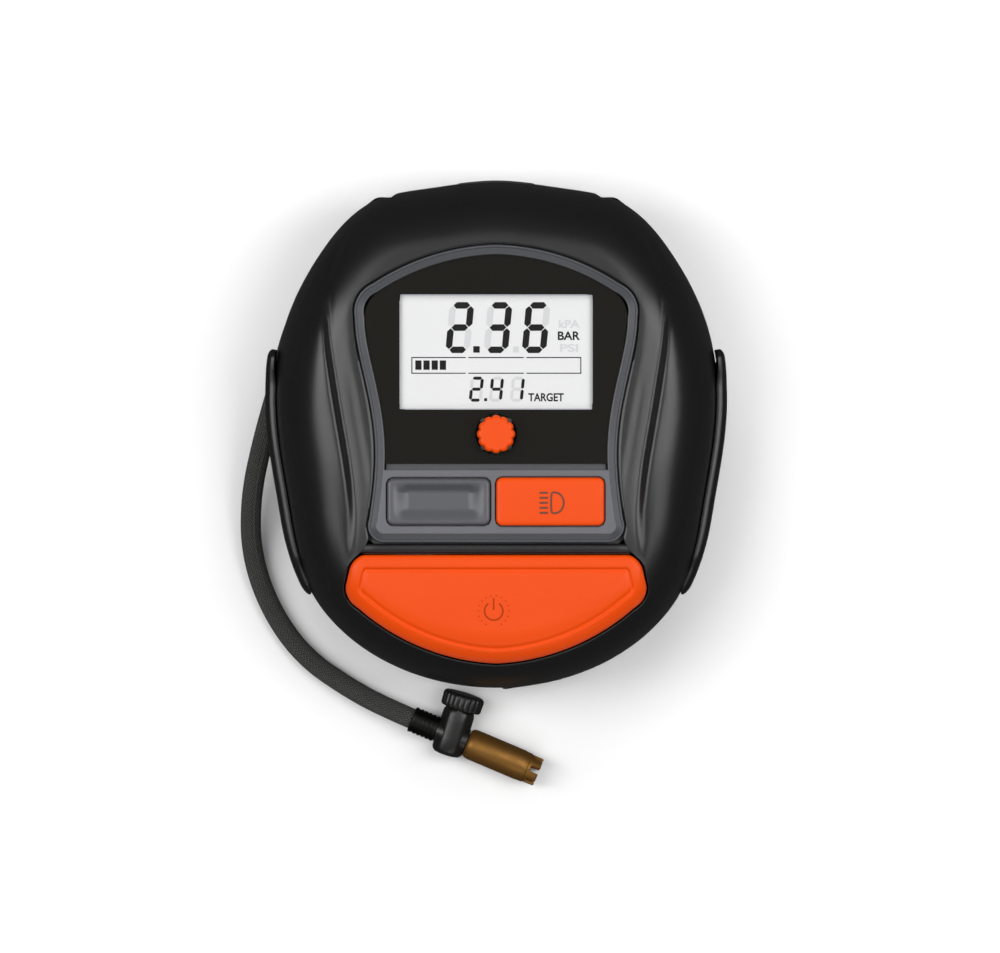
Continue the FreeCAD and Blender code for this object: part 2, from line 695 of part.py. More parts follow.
def keys():
    """The lamp key, the unit key and the power key, each over its own switch."""
    small_key("light", dish=False)
    small_key("unit", dish=True)
    top = "dims.board_z + dims.board_thick"
    ceiling = "dims.key_floor_z + dims.key_height - 3.2"
    cases = []
    for side in ("light", "unit"):
        case, stem = switch(f"{side}_switch", f"dims.{side}_key_x", "dims.key_y", top, ceiling)
        cases.append(case)
        node(stem, f"{side}_switch_plunger")

    lift, skin = 1.6, 3.0
    roof, floor = dim("deck_z"), dim("power_board_z") + 4.4
    column = prism(power_key_wire(0.0, floor), 40)
    rib = prism(power_key_wire(-2.2, floor - 1), 40)
    key = column.common(front_dome(lift)).cut(rib.common(front_dome(lift - skin)))
    pads = [hole(4.2, 64, roof, x, y) for x, y in POWER_SPRINGS]
    pads.append(hole(3.2, 64, roof, 0, dim("power_key_y")))
    inside = column.common(front_dome(lift - 1))
    key = key.fuse([pad.common(inside) for pad in pads]).removeSplitter()
    node(shaped("power_key", key), "power_key")

    board_top = "dims.power_board_z + dims.board_thick"
    case, stem = switch("power_switch", "0", "dims.power_key_y", board_top, "64")
    node(group("key_switches", cases + [case]), "key_switches")
    node(stem, "power_switch_plunger")
    springs = []
    low = dim("power_board_z") + dim("board_thick")
    for x, y in POWER_SPRINGS:
        wire_radius, turns, free = 0.35, 5, 64 - low
        helix = Part.makeHelix((free - 2 * wire_radius) / turns, free - 2 * wire_radius, 3.0)
        ring = Part.Wire(Part.makeCircle(wire_radius, Vector(3.0, 0, 0), Vector(0, 1, 0)))
        coil = Part.Wire(helix).makePipeShell([ring], True, True)
        coil.translate(Vector(x, y, low + wire_radius))
        springs.append(shaped("power_key_spring", coil))
    node(group("power_key_springs", springs), "power_key_springs")


# ---------------------------------------------------------------- electronics


def boards():
    """Main board under the display and the small board under the power key."""
    main = Block("board_block", z="dims.board_z")
    face = main.sketch()
    draw_rectangle(face, 100, 104, y=8)
    main.pad(face, "dims.board_thick")
    main.round_edges(9, upright)
    for x, y in BOARD_POSTS:
        drill = main.sketch("dims.board_thick")
        draw_circle(drill, "dims.screw_radius + 0.2", x, y)
        main.pocket(drill, 5)
    chip = box("control_chip", 12, 12, 1.6, 12, -18, "dims.board_z - 1.6")
    cans = [rod("capacitor", 4, 13, 4 + 11 * i, -37, "dims.board_z - 13") for i in range(2)]
    node(fuse("board_with_parts", main.body, chip, *cans), "main_board")

    power = Block("power_board_block", z="dims.power_board_z")
    face = power.sketch()
    draw_rectangle(face, 65, 28, y=-62)
    power.pad(face, "dims.board_thick")
    power.round_edges(3, upright)
    for x, y in POWER_POSTS:
        drill = power.sketch("dims.board_thick")
        draw_circle(drill, 1.2, x, y)
        power.pocket(drill, 5)
    node(power.body, "power_key_board")

    screws = []
    for x, y in BOARD_POSTS:
        head = rod("board_screw_head", 2.6, 1.6, x, y, "dims.board_z - 1.65")
        shank = rod("board_screw_shank", "dims.screw_radius - 0.05", 9, x, y, "dims.board_z - 1.65")
        screws.append(fuse("board_screw", head, shank))
    for x, y in POWER_POSTS:
        head = rod("board_screw_head", 2.2, 1.6, x, y, "dims.power_board_z + dims.board_thick")
        shank = rod("board_screw_shank", 0.95, 8, x, y, "dims.power_board_z + dims.board_thick - 6.5")
        screws.append(fuse("board_screw", head, shank))
    node(group("board_screws", screws), "board_screws")


def board_parts():
    """What hangs under the main board: the pressure sensor and the motor relay."""
    under = "dims.board_z"
    case = box("sensor_case", 12, 12, 6.6, 40, "dims.rod_y", f"{under} - 6.6")
    nipple = rod("sensor_nipple", 1.45, 6, 45, "dims.rod_y", f"{under} - 4", "X")
    node(fuse("pressure_sensor_body", case, nipple), "pressure_sensor")
    node(box("motor_relay", 19, 15, 15, 30, -36, f"{under} - 15"), "motor_relay")


def lamp():
    """Work lamp in the top edge: lens, reflector and a board with three emitters."""
    gap = 0.2
    low, high = LAMP_LOW + Vector(gap, 0, gap), LAMP_HIGH - Vector(gap, 0, gap)
    low.y = 92.5
    lens = block_between(low, high).common(front_dome())
    node(shaped("lamp_lens", lens), "lamp_lens")
    tray = box("lamp_tray", 29, 9, 7.4, y=87.9, z=40.3)
    bowl = box("lamp_bowl", 27, 8, 5.4, y=88.5, z=41.3)
    windows = [box("emitter_window", 4.2, 3, 4.2, x, y=84, z=41.9) for x in (-8.5, 0, 8.5)]
    node(cut("reflector_tray", tray, bowl, *windows), "lamp_reflector")
    board = box("lamp_circuit", 29, 1.4, 7.4, y=82.65, z=40.3)
    emitters = [box("emitter", 3.4, 5.6, 3.4, x, y=86.1, z=42.3) for x in (-8.5, 0, 8.5)]
    node(fuse("lamp_board_with_emitters", board, *emitters), "lamp_board")


# ---------------------------------------------------------------- compressor


def involute(base, radius):
    """Angle, in radians, that an involute from the base circle has turned at a radius."""
    if radius <= base:
        return 0.0
    pressure = math.acos(base / radius)
    return math.tan(pressure) - pressure


def gear_wire(teeth, addendum, dedendum, backlash, turned=0.0):
    """Outline of a spur gear with involute flanks, centred on the origin.

    backlash is how much thinner than half a pitch each tooth is, in millimetres.
    """
    pitch = dim("gear_module") * teeth / 2
    base = pitch * math.cos(math.radians(20))
    outer, root = pitch + addendum, pitch - dedendum
    half = (math.pi * dim("gear_module") / 2 - backlash) / 2 / pitch + involute(base, pitch)
    foot = max(base, root)
    radii = [foot + (outer - foot) * share for share in (0.0, 0.25, 0.5, 0.75, 1.0)]
    edges = []

    def spot(radius, angle):
        return Vector(radius * math.cos(angle), radius * math.sin(angle), 0)

    for tooth in range(teeth):
        middle = turned + 2 * math.pi * tooth / teeth
        following = turned + 2 * math.pi * (tooth + 1) / teeth
        rising = [spot(r, middle - half + involute(base, r)) for r in radii]
        falling = [spot(r, middle + half - involute(base, r)) for r in reversed(radii)]
        for side in (rising, falling):
            flank = Part.BSplineCurve()
            flank.interpolate(side)
            edges.append(flank.toShape())
        edges.append(Part.Arc(rising[-1], spot(outer, middle), falling[0]).toShape())
        tooth_foot = half - involute(base, foot)
        valley_in, valley_out = middle + tooth_foot, following - tooth_foot
        first, last = spot(root, valley_in), spot(root, valley_out)
        if root < base:
            edges.append(Part.LineSegment(falling[-1], first).toShape())
            edges.append(Part.LineSegment(last, spot(foot, valley_out)).toShape())
        edges.append(Part.Arc(first, spot(root, (valley_in + valley_out) / 2), last).toShape())
    return Part.Wire(Part.__sortEdges__(edges))


def along_y(shape, x, y, z):
    """Turns a shape built along +Z to run along +Y and moves its origin to x, y, z."""
    shape.Placement = Placement(Vector(x, y, z), Rotation(Vector(1, 0, 0), -90))
    return shape


def motor():
    """Brushed motor: can, end cap and magnets stay; shaft, armature and pinion turn."""
    x, z = "dims.motor_x", "dims.engine_z"
    can = rod("can_outside", "dims.motor_radius", 50, x, -48, z, "Y")
    hollow = rod("can_inside", "dims.motor_radius - 1.4", 48.6, x, -48, z, "Y")
    nose = rod("can_nose", 4.0, 5, x, -1, z, "Y")
    node(cut("motor_can_shell", can, hollow, nose), "motor_can")
    cap = rod("cap_disc", "dims.motor_radius", 4, x, -52.1, z, "Y")
    shaft_way = rod("cap_way", 1.7, 6, x, -53, z, "Y")
    tags = [box("motor_tag", 4, 5, 0.8, f"{x} + {dx}", -54.6, f"{z} - 0.4") for dx in (-10, 10)]
    node(fuse("motor_cap", cut("cap_bored", cap, shaft_way), *tags), "motor_end_cap")

    magnets = []
    for side, name in ((1, "north"), (-1, "south")):
        ring = tube(f"{name}_ring", 16.5, 14.4, 34, x, -41, z, "Y")
        half = box(f"{name}_window", 60, 40, 11, x, -22, f"{z} + {side * 9} - 5.5")
        arc = DOC.addObject("Part::Common", f"{name}_magnet")
        arc.Base = ring
        arc.Tool = half
        magnets.append(arc)
    node(group("motor_magnets", magnets), "motor_magnets")

    node(rod("motor_shaft", 1.6, 71.5, x, -54.5, z, "Y"), "motor_shaft")
    stack = rod("stack", 13.4, 34, x, -41, z, "Y")
    bore = rod("stack_bore", 1.6, 40, x, -43, z, "Y")
    slots = []
    for index in range(5):
        turn = 2 * math.pi * index / 5 + 0.3
        dx, dz = 9.6 * math.cos(turn), 9.6 * math.sin(turn)
        slots.append(rod("winding_slot", 3.2, 40, f"{x} + {dx:.4f}", -43, f"{z} + {dz:.4f}", "Y"))
    commutator = tube("commutator", 4.4, 1.6, 5.6, x, -46.5, z, "Y")
    node(fuse("wound_rotor", cut("rotor_stack", stack, bore, *slots), commutator), "motor_armature")

    teeth, module = int(dim("pinion_teeth")), dim("gear_module")
    start = math.pi / teeth
    blank = prism(gear_wire(teeth, 0.85 * module, 1.15 * module, 0.12, start), 7)
    blank = blank.cut(Part.makeCylinder(1.6, 7))
    pinion = shaped("motor_pinion", blank)
    along_y(pinion, dim("motor_x"), 7.5, dim("engine_z"))
    node(pinion, "motor_pinion")


def crank():
    """Crank gear with its counterweight, axle and crank pin."""
    module, teeth = dim("gear_module"), int(dim("crank_teeth"))
    x = crank_x()
    disc = prism(gear_wire(teeth, 0.65 * module, 1.15 * module, 0.12), 6)
    lightening = [
        Part.makeCylinder(4.0, 6, Vector(11.5 * math.cos(a), 11.5 * math.sin(a), 0))
        for a in (math.radians(60), math.radians(-60))
    ]
    pin_seat = Part.makeCylinder(2.3, 6, Vector(dim("crank_throw"), 0, 0))
    disc = disc.cut([Part.makeCylinder(2.6, 6), pin_seat] + lightening)
    gear = shaped("crank_gear", disc)
    along_y(gear, x, 8.0, dim("engine_z"))
    node(gear, "crank_gear")
    node(rod("crank_axle", 2.58, 14.5, x, -1.0, "dims.engine_z", "Y"), "crank_axle")
    pin_x = f"{x} + dims.crank_throw"
    node(rod("crank_pin", 2.28, 14, pin_x, 8.2, "dims.engine_z", "Y"), "crank_pin")


def crank_x():
    """The crank axis, one centre distance from the motor axis."""
    teeth = dim("pinion_teeth") + dim("crank_teeth")
    return dim("motor_x") + dim("gear_module") * teeth / 2


def rod_and_piston():
    """Connecting rod with its wrist pin, and the cup piston with its ring."""
    big_x, y, z = crank_x() + dim("crank_throw"), dim("rod_y"), dim("engine_z")
    small_x = big_x + dim("rod_length")
    big = rod("big_end", 6.0, 6, big_x, y - 3, z, "Y")
    small = rod("small_end", 3.8, 6, small_x, y - 3, z, "Y")
    shank = box("shank", "dims.rod_length - 6", 4, 5, (big_x + small_x) / 2, y, z - 2.5)
    big_bore = rod("big_bore", 2.34, 10, big_x, y - 5, z, "Y")
    small_bore = rod("small_bore", 2.0, 10, small_x, y - 5, z, "Y")
    body = cut("rod_body", fuse("rod_blank", big, small, shank), big_bore, small_bore)
    node(body, "connecting_rod")
    node(rod("wrist_pin", 1.98, 8.8, small_x, y - 4.4, z, "Y"), "wrist_pin")

    skirt_x, crown_x = small_x - 6, small_x + 18
    outside = rod("piston_outside", "dims.bore_radius - 0.1", crown_x - skirt_x, skirt_x, y, z, "X")
    inside = rod("piston_inside", 10.6, crown_x - skirt_x - 2.5, skirt_x, y, z, "X")
    pin_way = rod("pin_way", 2.1, 40, small_x, y - 20, z, "Y")
    groove = tube("ring_groove", "dims.bore_radius + 1", 11.5, 1.8, crown_x - 2.6 - 1.8, y, z, "X")
    node(cut("piston_body", outside, inside, pin_way, groove), "piston")
    ring = tube("piston_ring_tube", "dims.bore_radius - 0.03", 11.55, 1.7, crown_x - 2.6 - 1.75, y, z, "X")
    node(ring, "piston_ring")


def cylinder_and_head():
    """Finned cylinder, its head with two nipples, and the head screws."""
    y, z = "dims.rod_y", "dims.engine_z"
    wall = rod("cylinder_wall", 14.6, 35, 21, y, z, "X")
    fins = [rod("fin", 16.6, 1.6, 25 + 5 * i, y, z, "X") for i in range(5)]
    flange = box("head_flange", 5, 30, 30, 53.5, y, f"{z} - 15")
    foot = box("foot_flange", 2.5, 30, 30, 22.25, y, f"{z} - 15")
    bore = rod("cylinder_bore", "dims.bore_radius", 60, 10, y, z, "X")
    corners = [(dy, dz) for dy in (-12.4, 12.4) for dz in (-12.4, 12.4)]
    taps = [rod("tap", 1.5, 8, 50, f"{y} + {dy}", f"{z} + {dz}", "X") for dy, dz in corners]
    whole = fuse("cylinder_blank", wall, flange, foot, *fins)
    node(cut("cylinder_body", whole, bore, *taps), "cylinder")

    head = box("head_block", 9.4, 30, 30, 60.7, y, f"{z} - 15")
    chamber = rod("head_chamber", 8, 4, 55.5, y, z, "X")
    outlet = rod("outlet_nipple", 1.85, 9, 61, -5.9, z, "Y")
    sensor = rod("gauge_nipple", 1.35, 5, 61, y, f"{z} + 14.9", "Z")
    ways = [rod("head_way", 1.6, 20, 50, f"{y} + {dy}", f"{z} + {dz}", "X") for dy, dz in corners]
    blank = fuse("head_blank", head, outlet, sensor)
    node(cut("cylinder_head_body", blank, chamber, *ways), "cylinder_head")
    screws = []
    for dy, dz in corners:
        head_cap = rod("cap", 2.6, 2.4, 65.45, f"{y} + {dy}", f"{z} + {dz}", "X")
        shank = rod("cap_shank", 1.45, 14.5, 51, f"{y} + {dy}", f"{z} + {dz}", "X")
        screws.append(fuse("head_screw", head_cap, shank))
    node(group("head_screws", screws), "head_screws")


def compressor_frame():
    """Die-cast frame that carries motor, crank and cylinder on four rubber mounts."""
    low, top = 8.5, 50.0
    motor_plate = box("motor_plate", 75, 4, top - low, -16.5, 4.05, low)
    cylinder_plate = box("cylinder_plate", 4, 33, top - low, 18.95, 21.5, low)
    base = box("frame_base", 75, 32, 3, -16.5, 22, low)
    motor_way = rod("motor_way", 5.0, 20, "dims.motor_x", -5, "dims.engine_z", "Y")
    axle_way = rod("axle_way", 2.63, 20, crank_x(), -5, "dims.engine_z", "Y")
    bore_way = rod("bore_way", "dims.bore_radius + 0.3", 20, 10, "dims.rod_y", "dims.engine_z", "X")
    blank = fuse("frame_blank", motor_plate, cylinder_plate, base)
    bush = rod("bush", 5.5, 6, crank_x(), 1.5, "dims.engine_z", "Y")
    casting = fuse("frame_with_bush", blank, bush)
    node(cut("frame_casting", casting, motor_way, axle_way, bore_way), "compressor_frame")
    floor = "dims.foot_height + dims.wall"
    mounts = [rod("mount", 4.5, f"{low} - ({floor})", x, y, floor) for x, y in MOUNTS]
    node(group("compressor_mounts", mounts), "compressor_mounts")


# ---------------------------------------------------------------- hoses


def swept_path(points, largest=None):
    """Straight runs joined by tangent arcs, as large as the two runs beside each point allow."""
    edges, radii, start = [], [], points[0]
    for before, corner, after in zip(points, points[1:], points[2:]):
        inwards = (before - corner).normalize()
        outwards = (after - corner).normalize()
        turn = math.pi - inwards.getAngle(outwards)
        run = min((before - corner).Length, (after - corner).Length)
        radius = 0.45 * run / math.tan(turn / 2)
        if largest:
            radius = min(radius, largest)
        reach = radius * math.tan(turn / 2)
        first, last = corner + inwards * reach, corner + outwards * reach
        middle_way = (inwards + outwards).normalize()
        centre = corner + middle_way * math.hypot(radius, reach)
        middle = centre - middle_way * radius
        edges.append(Part.LineSegment(start, first).toShape())
        edges.append(Part.Arc(first, middle, last).toShape())
        radii.append(radius)
        start = last
    edges.append(Part.LineSegment(start, points[-1]).toShape())
    return Part.Wire(edges), radii


def swept_rod(points, radius, largest=None):
    """A round rod along a route, with its radii and its length."""
    path, radii = swept_path(points, largest)
    first = (points[1] - points[0]).normalize()
    section = Part.Wire(Part.makeCircle(radius, points[0], first))
    solid = path.makePipeShell([section], True, False)
    return solid, radii, path.Length


def inner_tubes():
    """Air tube from the cylinder head to the hose outlet, and the gauge tube to the sensor."""
    z, hose_z = dim("engine_z"), dim("hose_z")
    route = [
        Vector(61, -1, z),
        Vector(61, -14, z),
        Vector(49, -38, z - 0.6),
        Vector(32, -58, z - 1.6),
        Vector(10, -66, z - 2.6),
        Vector(3, -76.5, hose_z),
        Vector(3, -78, hose_z),
    ]
    outside, _, _ = swept_rod(route, 3.1, 12)
    inside, _, _ = swept_rod(route, 1.9, 12)
    node(shaped("air_tube", outside.cut(inside)), "air_tube")
    y = dim("rod_y")
    bend = [Vector(61, y, z + 15.4), Vector(61, y, 56), Vector(46.2, y, 56)]
    outside, _, _ = swept_rod(bend, 2.5, 5)
    inside, _, _ = swept_rod(bend, 1.5, 5)
    node(shaped("gauge_tube", outside.cut(inside)), "gauge_tube")


HOSE_ROUTE = [
    (12.0, -92.6, 28.7),
    (31.0, -89.8, 28.3),
    (52.5, -77.0, 28.0),
    (69.4, -57.6, 28.0),
    (76.9, -33.0, 28.0),
    (81.4, -5.0, 28.0),
    (82.0, 24.0, 28.0),
    (73.5, 51.0, 28.0),
    (58.3, 77.4, 28.0),
    (33.0, 90.4, 28.0),
    (6.0, 93.2, 28.0),
    (-22.0, 91.8, 28.0),
    (-48.0, 84.5, 28.0),
    (-66.0, 65.0, 28.0),
    (-77.8, 42.5, 28.0),
    (-83.6, 20.0, 28.1),
    (-90.0, -2.0, 24.0),
    (-94.8, -24.0, 15.5),
    (-94.8, -46.0, 7.6),
    (-87.5, -67.5, 4.1),
    (-74.5, -86.0, 3.95),
    (-55.5, -99.0, 4.4),
]


def hose():
    """Braided hose, wound round the housing in its groove and led out under the left guard."""
    radius = dim("hose_radius")
    end = fitting_place().multVec(Vector(7.9, 0, 0))
    before_end = fitting_place().multVec(Vector(-9.0, 0, 0))
    route = [Vector(*point) for point in HOSE_ROUTE] + [before_end, end]
    solid, radii, length = swept_rod(route, radius)
    expected = math.pi * radius**2 * length
    if abs(solid.Volume / expected - 1) > 0.02:
        raise RuntimeError(f"hose volume {solid.Volume:.0f}, section times length {expected:.0f}")
    print("hose length", round(length, 1), "radii", [round(r, 1) for r in radii])
    node(shaped("air_hose", solid), "air_hose")

    start = Vector(*HOSE_ROUTE[0])
    way = (Vector(*HOSE_ROUTE[1]) - start).normalize()
    barrel = Part.makeCylinder(4.6, 12.5, start - way * 10.5, way)
    socket = Part.makeCylinder(radius + 0.07, 4, start - way * 0.1, way)
    stub = Part.makeCylinder(3.4, 11, Vector(3, -81.4, dim("hose_z")), Vector(0, -1, 0))
    barb = Part.makeCylinder(1.85, 5, Vector(3, -77, dim("hose_z")), Vector(0, -1, 0))
    outlet = barrel.fuse([stub, barb]).cut(socket).removeSplitter()
    node(shaped("hose_outlet", outlet), "hose_outlet")


# ---------------------------------------------------------------- hose fitting


def fitting_place():
    """Placement of the hose fitting: its own X runs from the ferrule to the chuck's mouth."""
    turned = Rotation(Vector(0, 0, 1), dim("fitting_angle"))
    tilted = Rotation(Vector(1, 0, 0), dim("fitting_tilt"))
    return Placement(Vector(dim("fitting_x"), dim("fitting_y"), dim("fitting_z")), turned.multiply(tilted))


def fitting_node(name, shape):
    """A sub-part drawn in the fitting's own frame and put in place."""
    item = shaped(name, shape)
    item.Placement = fitting_place()
    return node(item, name)


def along_x(radius, start, end, y=0.0):
    """A cylinder along the fitting's own X."""
    return Part.makeCylinder(radius, end - start, Vector(start, y, 0), Vector(1, 0, 0))


def along_branch(radius, start, end, aside=0.0, above=0.0):
    """A cylinder along the fitting's release branch, or beside that branch's axis."""
    foot = Vector(dim("branch_x"), 0, 0)
    cylinder = Part.makeCylinder(radius, end - start, foot + Vector(aside, start, above), Vector(0, 1, 0))
    cylinder.rotate(foot, Vector(0, 0, 1), dim("branch_lean"))
    return cylinder


def hose_fitting():
    """Crimped ferrule, valve body with release button, and the brass chuck that screws onto a valve."""
    ferrule = along_x(5.0, 0.0, 10.4)
    ribs = [along_x(6, 2.0 + 1.7 * i, 2.7 + 1.7 * i).cut(along_x(4.6, 0, 20)) for i in range(5)]
    fitting_node("hose_ferrule", ferrule.cut([along_x(dim("hose_radius") + 0.07, -1, 8.0)] + ribs))

    centre, chuck, throat = dim("branch_x"), dim("chuck_start"), 3.35
    barrel = along_branch(6.25, -7.6, 11.2)
    barrel = barrel.makeFillet(1.6, [e for e in barrel.Edges if isinstance(e.Curve, Part.Circle)])
    barrel = barrel.cut([along_x(5.1, 8, 10.45), along_x(6.4, chuck - 0.1, 30)])
    neck, collar = along_x(4.4, 10.4, centre), along_x(4.9, centre, chuck - 0.1)
    body = barrel.fuse([neck, collar, along_x(throat, centre, 30)])
    body = body.cut([along_branch(3.2, 1.0, 12), along_x(1.2, centre, 31)])
    fitting_node("valve_body", body.removeSplitter())

    cap = along_branch(8.1, 11.0, 17.2)
    cap = cap.makeFillet(1.3, [e for e in cap.Edges if isinstance(e.Curve, Part.Circle)])
    turns = [2 * math.pi * i / 20 for i in range(20)]
    grips = [along_branch(0.55, 10, 18, 8.3 * math.cos(a), 8.3 * math.sin(a)) for a in turns]
    cap = cap.cut([*grips, along_branch(6.8, 10, 13.5)]).fuse(along_branch(3.15, 4.0, 13.6))
    fitting_node("release_button", cap.removeSplitter())

    mouth = chuck + dim("chuck_length")
    sleeve = along_x(dim("chuck_radius"), chuck, mouth)
    bores = [
        along_x(throat + 0.05, chuck - 1, 39.0),
        along_x(4.3, 38.9, 40.9),
        along_x(dim("thread_radius"), 40.8, 49.2),
        along_x(4.4, 49.2, mouth + 1),
    ]
    slots = []
    for index in range(3):
        slot = Part.makeBox(5, 12.5, 2.6, Vector(mouth - 3.6, -6.25, -1.3))
        slot.rotate(Vector(), Vector(1, 0, 0), 60 * index + 20)
        slots.append(slot)
    fitting_node("brass_chuck", sleeve.cut(bores + slots))
    seal = along_x(4.25, 38.95, 40.75).cut(along_x(1.6, 38, 42))
    fitting_node("chuck_seal", seal)
    spider = along_x(3.38, 36.4, 38.0).cut([along_x(0.6, 36, 39, y) for y in (-2.2, 2.2)])
    fitting_node("valve_depressor", spider.fuse(along_x(0.8, 37.5, 40.7)).removeSplitter())


# ---------------------------------------------------------------- build and write


def build():
    """Makes every sub-part, a sub-assembly at a time."""
    front_shell()
    rear_shell()
    groove_ring()
    hose_guards()
    feet_and_screws()
    lead_grommet()
    display_bezel()
    display_stack()
    knob_and_encoder()
    keys()
    boards()
    board_parts()
    lamp()
    motor()
    crank()
    rod_and_piston()
    cylinder_and_head()
    compressor_frame()
    inner_tubes()
    hose()
    hose_fitting()


def write():
    """Checks the document and writes one STEP file for each sub-part."""
    DOC.recompute()
    failed = [item.Name for item in DOC.Objects if {"Invalid", "Error"} & set(item.State)]
    if failed:
        raise RuntimeError(f"these objects failed: {failed}")
    os.makedirs("parts", exist_ok=True)
    for item in NODES:
        shape = item.Shape
        if shape.isNull() or not shape.isValid() or not shape.Solids:
            raise RuntimeError(f"{item.Label} has no valid solid")
        if any(solid.Volume <= 0 for solid in shape.Solids):
            raise RuntimeError(f"{item.Label} has a solid with no volume")
        shape.exportStep(os.path.join("parts", item.Label + ".step"))
    print(len(NODES), "sub-parts")


build()
write()
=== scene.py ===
"""Looks of a hand-sized tyre inflator with a digital gauge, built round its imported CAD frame.

Every length in the classes below is in millimetres. A mesh is turned to metres once, when it is made.
"""

import json
import logging
import math
from dataclasses import dataclass, field
from enum import Enum
from typing import Any, Callable, Optional, Sequence

import bmesh
import bpy
import numpy as np
from mathutils import Matrix

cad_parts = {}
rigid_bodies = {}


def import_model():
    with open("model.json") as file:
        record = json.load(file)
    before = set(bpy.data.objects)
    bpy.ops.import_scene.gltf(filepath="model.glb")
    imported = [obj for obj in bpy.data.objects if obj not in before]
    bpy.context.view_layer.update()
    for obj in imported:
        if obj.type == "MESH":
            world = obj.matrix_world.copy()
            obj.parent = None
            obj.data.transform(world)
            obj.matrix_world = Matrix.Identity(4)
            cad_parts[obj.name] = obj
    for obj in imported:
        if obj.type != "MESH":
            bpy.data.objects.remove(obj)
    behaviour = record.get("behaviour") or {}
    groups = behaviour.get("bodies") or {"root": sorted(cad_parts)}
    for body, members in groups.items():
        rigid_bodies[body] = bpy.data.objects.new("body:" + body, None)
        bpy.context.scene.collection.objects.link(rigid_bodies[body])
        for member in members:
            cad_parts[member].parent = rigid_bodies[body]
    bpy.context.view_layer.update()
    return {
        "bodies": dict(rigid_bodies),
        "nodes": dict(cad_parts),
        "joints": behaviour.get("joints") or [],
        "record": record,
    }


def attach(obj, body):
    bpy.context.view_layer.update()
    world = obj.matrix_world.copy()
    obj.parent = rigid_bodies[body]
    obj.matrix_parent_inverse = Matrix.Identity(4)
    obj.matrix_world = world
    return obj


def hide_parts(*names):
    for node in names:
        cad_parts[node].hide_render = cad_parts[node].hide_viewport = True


LOG = logging.getLogger("inflator")
METRES = 0.001
Array = np.ndarray
Profile = Sequence[tuple[float, float]]


# ------------------------------------------------------------------ curves


def closed_spline(points: Array, count: int) -> Array:
    """Smooth closed curve through points: a periodic cubic, by the length of its chords.

    The second derivatives solve the usual cyclic system, which keeps slope and bend unbroken.

    Args:
        points: the points to pass through, shape (n, 2).
        count: how many points to give back, evenly spread along the chords.

    Returns:
        The curve's points, shape (count, 2).
    """
    n = len(points)
    step = np.linalg.norm(np.roll(points, -1, axis=0) - points, axis=1)
    before = np.roll(step, 1)
    slope = (np.roll(points, -1, axis=0) - points) / step[:, None]
    index = np.arange(n)
    system = np.zeros((n, n))
    system[index, index] = 2.0 * (before + step)
    system[index, (index - 1) % n] = before
    system[index, (index + 1) % n] = step
    bend = np.linalg.solve(system, 6.0 * (slope - np.roll(slope, 1, axis=0)))
    start = np.concatenate([[0.0], np.cumsum(step)])
    along = np.linspace(0.0, start[-1], count, endpoint=False)
    k = np.clip(np.searchsorted(start, along, side="right") - 1, 0, n - 1)
    h = step[k][:, None]
    a = (start[k + 1] - along)[:, None]
    b = (along - start[k])[:, None]
    nxt = (k + 1) % n
    curved = (bend[k] * a**3 + bend[nxt] * b**3) / (6.0 * h)
    straight = (points[k] / h - bend[k] * h / 6.0) * a + (points[nxt] / h - bend[nxt] * h / 6.0) * b
    return curved + straight


def resampled(points: Array, count: int, closed: bool = True) -> Array:
    """Points spread evenly by length along a polyline.

    Args:
        points: the polyline, shape (n, 2) or (n, 3).
        count: how many points to give back.
        closed: whether the last point joins the first.

    Returns:
        Points of the same kind, shape (count, 2) or (count, 3).
    """
    line = np.vstack([points, points[:1]]) if closed else points
    length = np.concatenate([[0.0], np.cumsum(np.linalg.norm(np.diff(line, axis=0), axis=1))])
    along = np.linspace(0.0, length[-1], count, endpoint=not closed)
    return np.stack([np.interp(along, length, line[:, axis]) for axis in range(line.shape[1])], axis=1)


def softened(values: Array, rounds: int) -> Array:
    """A closed row of values, averaged with its neighbours a number of times."""
    for _ in range(rounds):
        values = 0.5 * values + 0.25 * (np.roll(values, 1, axis=0) + np.roll(values, -1, axis=0))
    return values


def arc(first: Sequence[float], middle: Sequence[float], last: Sequence[float], count: int) -> Array:
    """Circular arc through three points, found from the circle that they share.

    Args:
        first: where the arc starts.
        middle: a point on the arc.
        last: where it ends.
        count: how many points to give back.

    Returns:
        Points on the arc, shape (count, 2).
    """
    p, q, r = (np.asarray(v, dtype=float) for v in (first, middle, last))
    system = 2.0 * np.array([q - p, r - p])
    centre = np.linalg.solve(system, np.array([q @ q - p @ p, r @ r - p @ p]))
    radius = np.linalg.norm(p - centre)
    turn = [math.atan2(*(v - centre)[::-1]) for v in (p, q, r)]
    turn = np.unwrap(turn)
    angle = np.linspace(turn[0], turn[2], count)
    return centre + radius * np.stack([np.cos(angle), np.sin(angle)], axis=1)


def mirrored(right: Array) -> Array:
    """Closed contour, counter-clockwise, from its right half, which runs from the top to the bottom."""
    left = right[1:-1] * np.array([-1.0, 1.0])
    return np.vstack([right[::-1], left])


def normals_of(contour: Array) -> Array:
    """Unit normals of a closed counter-clockwise contour, pointing out of it."""
    along = np.roll(contour, -1, axis=0) - np.roll(contour, 1, axis=0)
    out = np.stack([along[:, 1], -along[:, 0]], axis=1)
    return out / np.maximum(np.linalg.norm(out, axis=1, keepdims=True), 1e-9)


def inset(contour: Array, distance: float, rounds: int = 2) -> Array:
    """A contour moved inwards along its softened normals."""
    return contour - softened(normals_of(contour), rounds) * distance


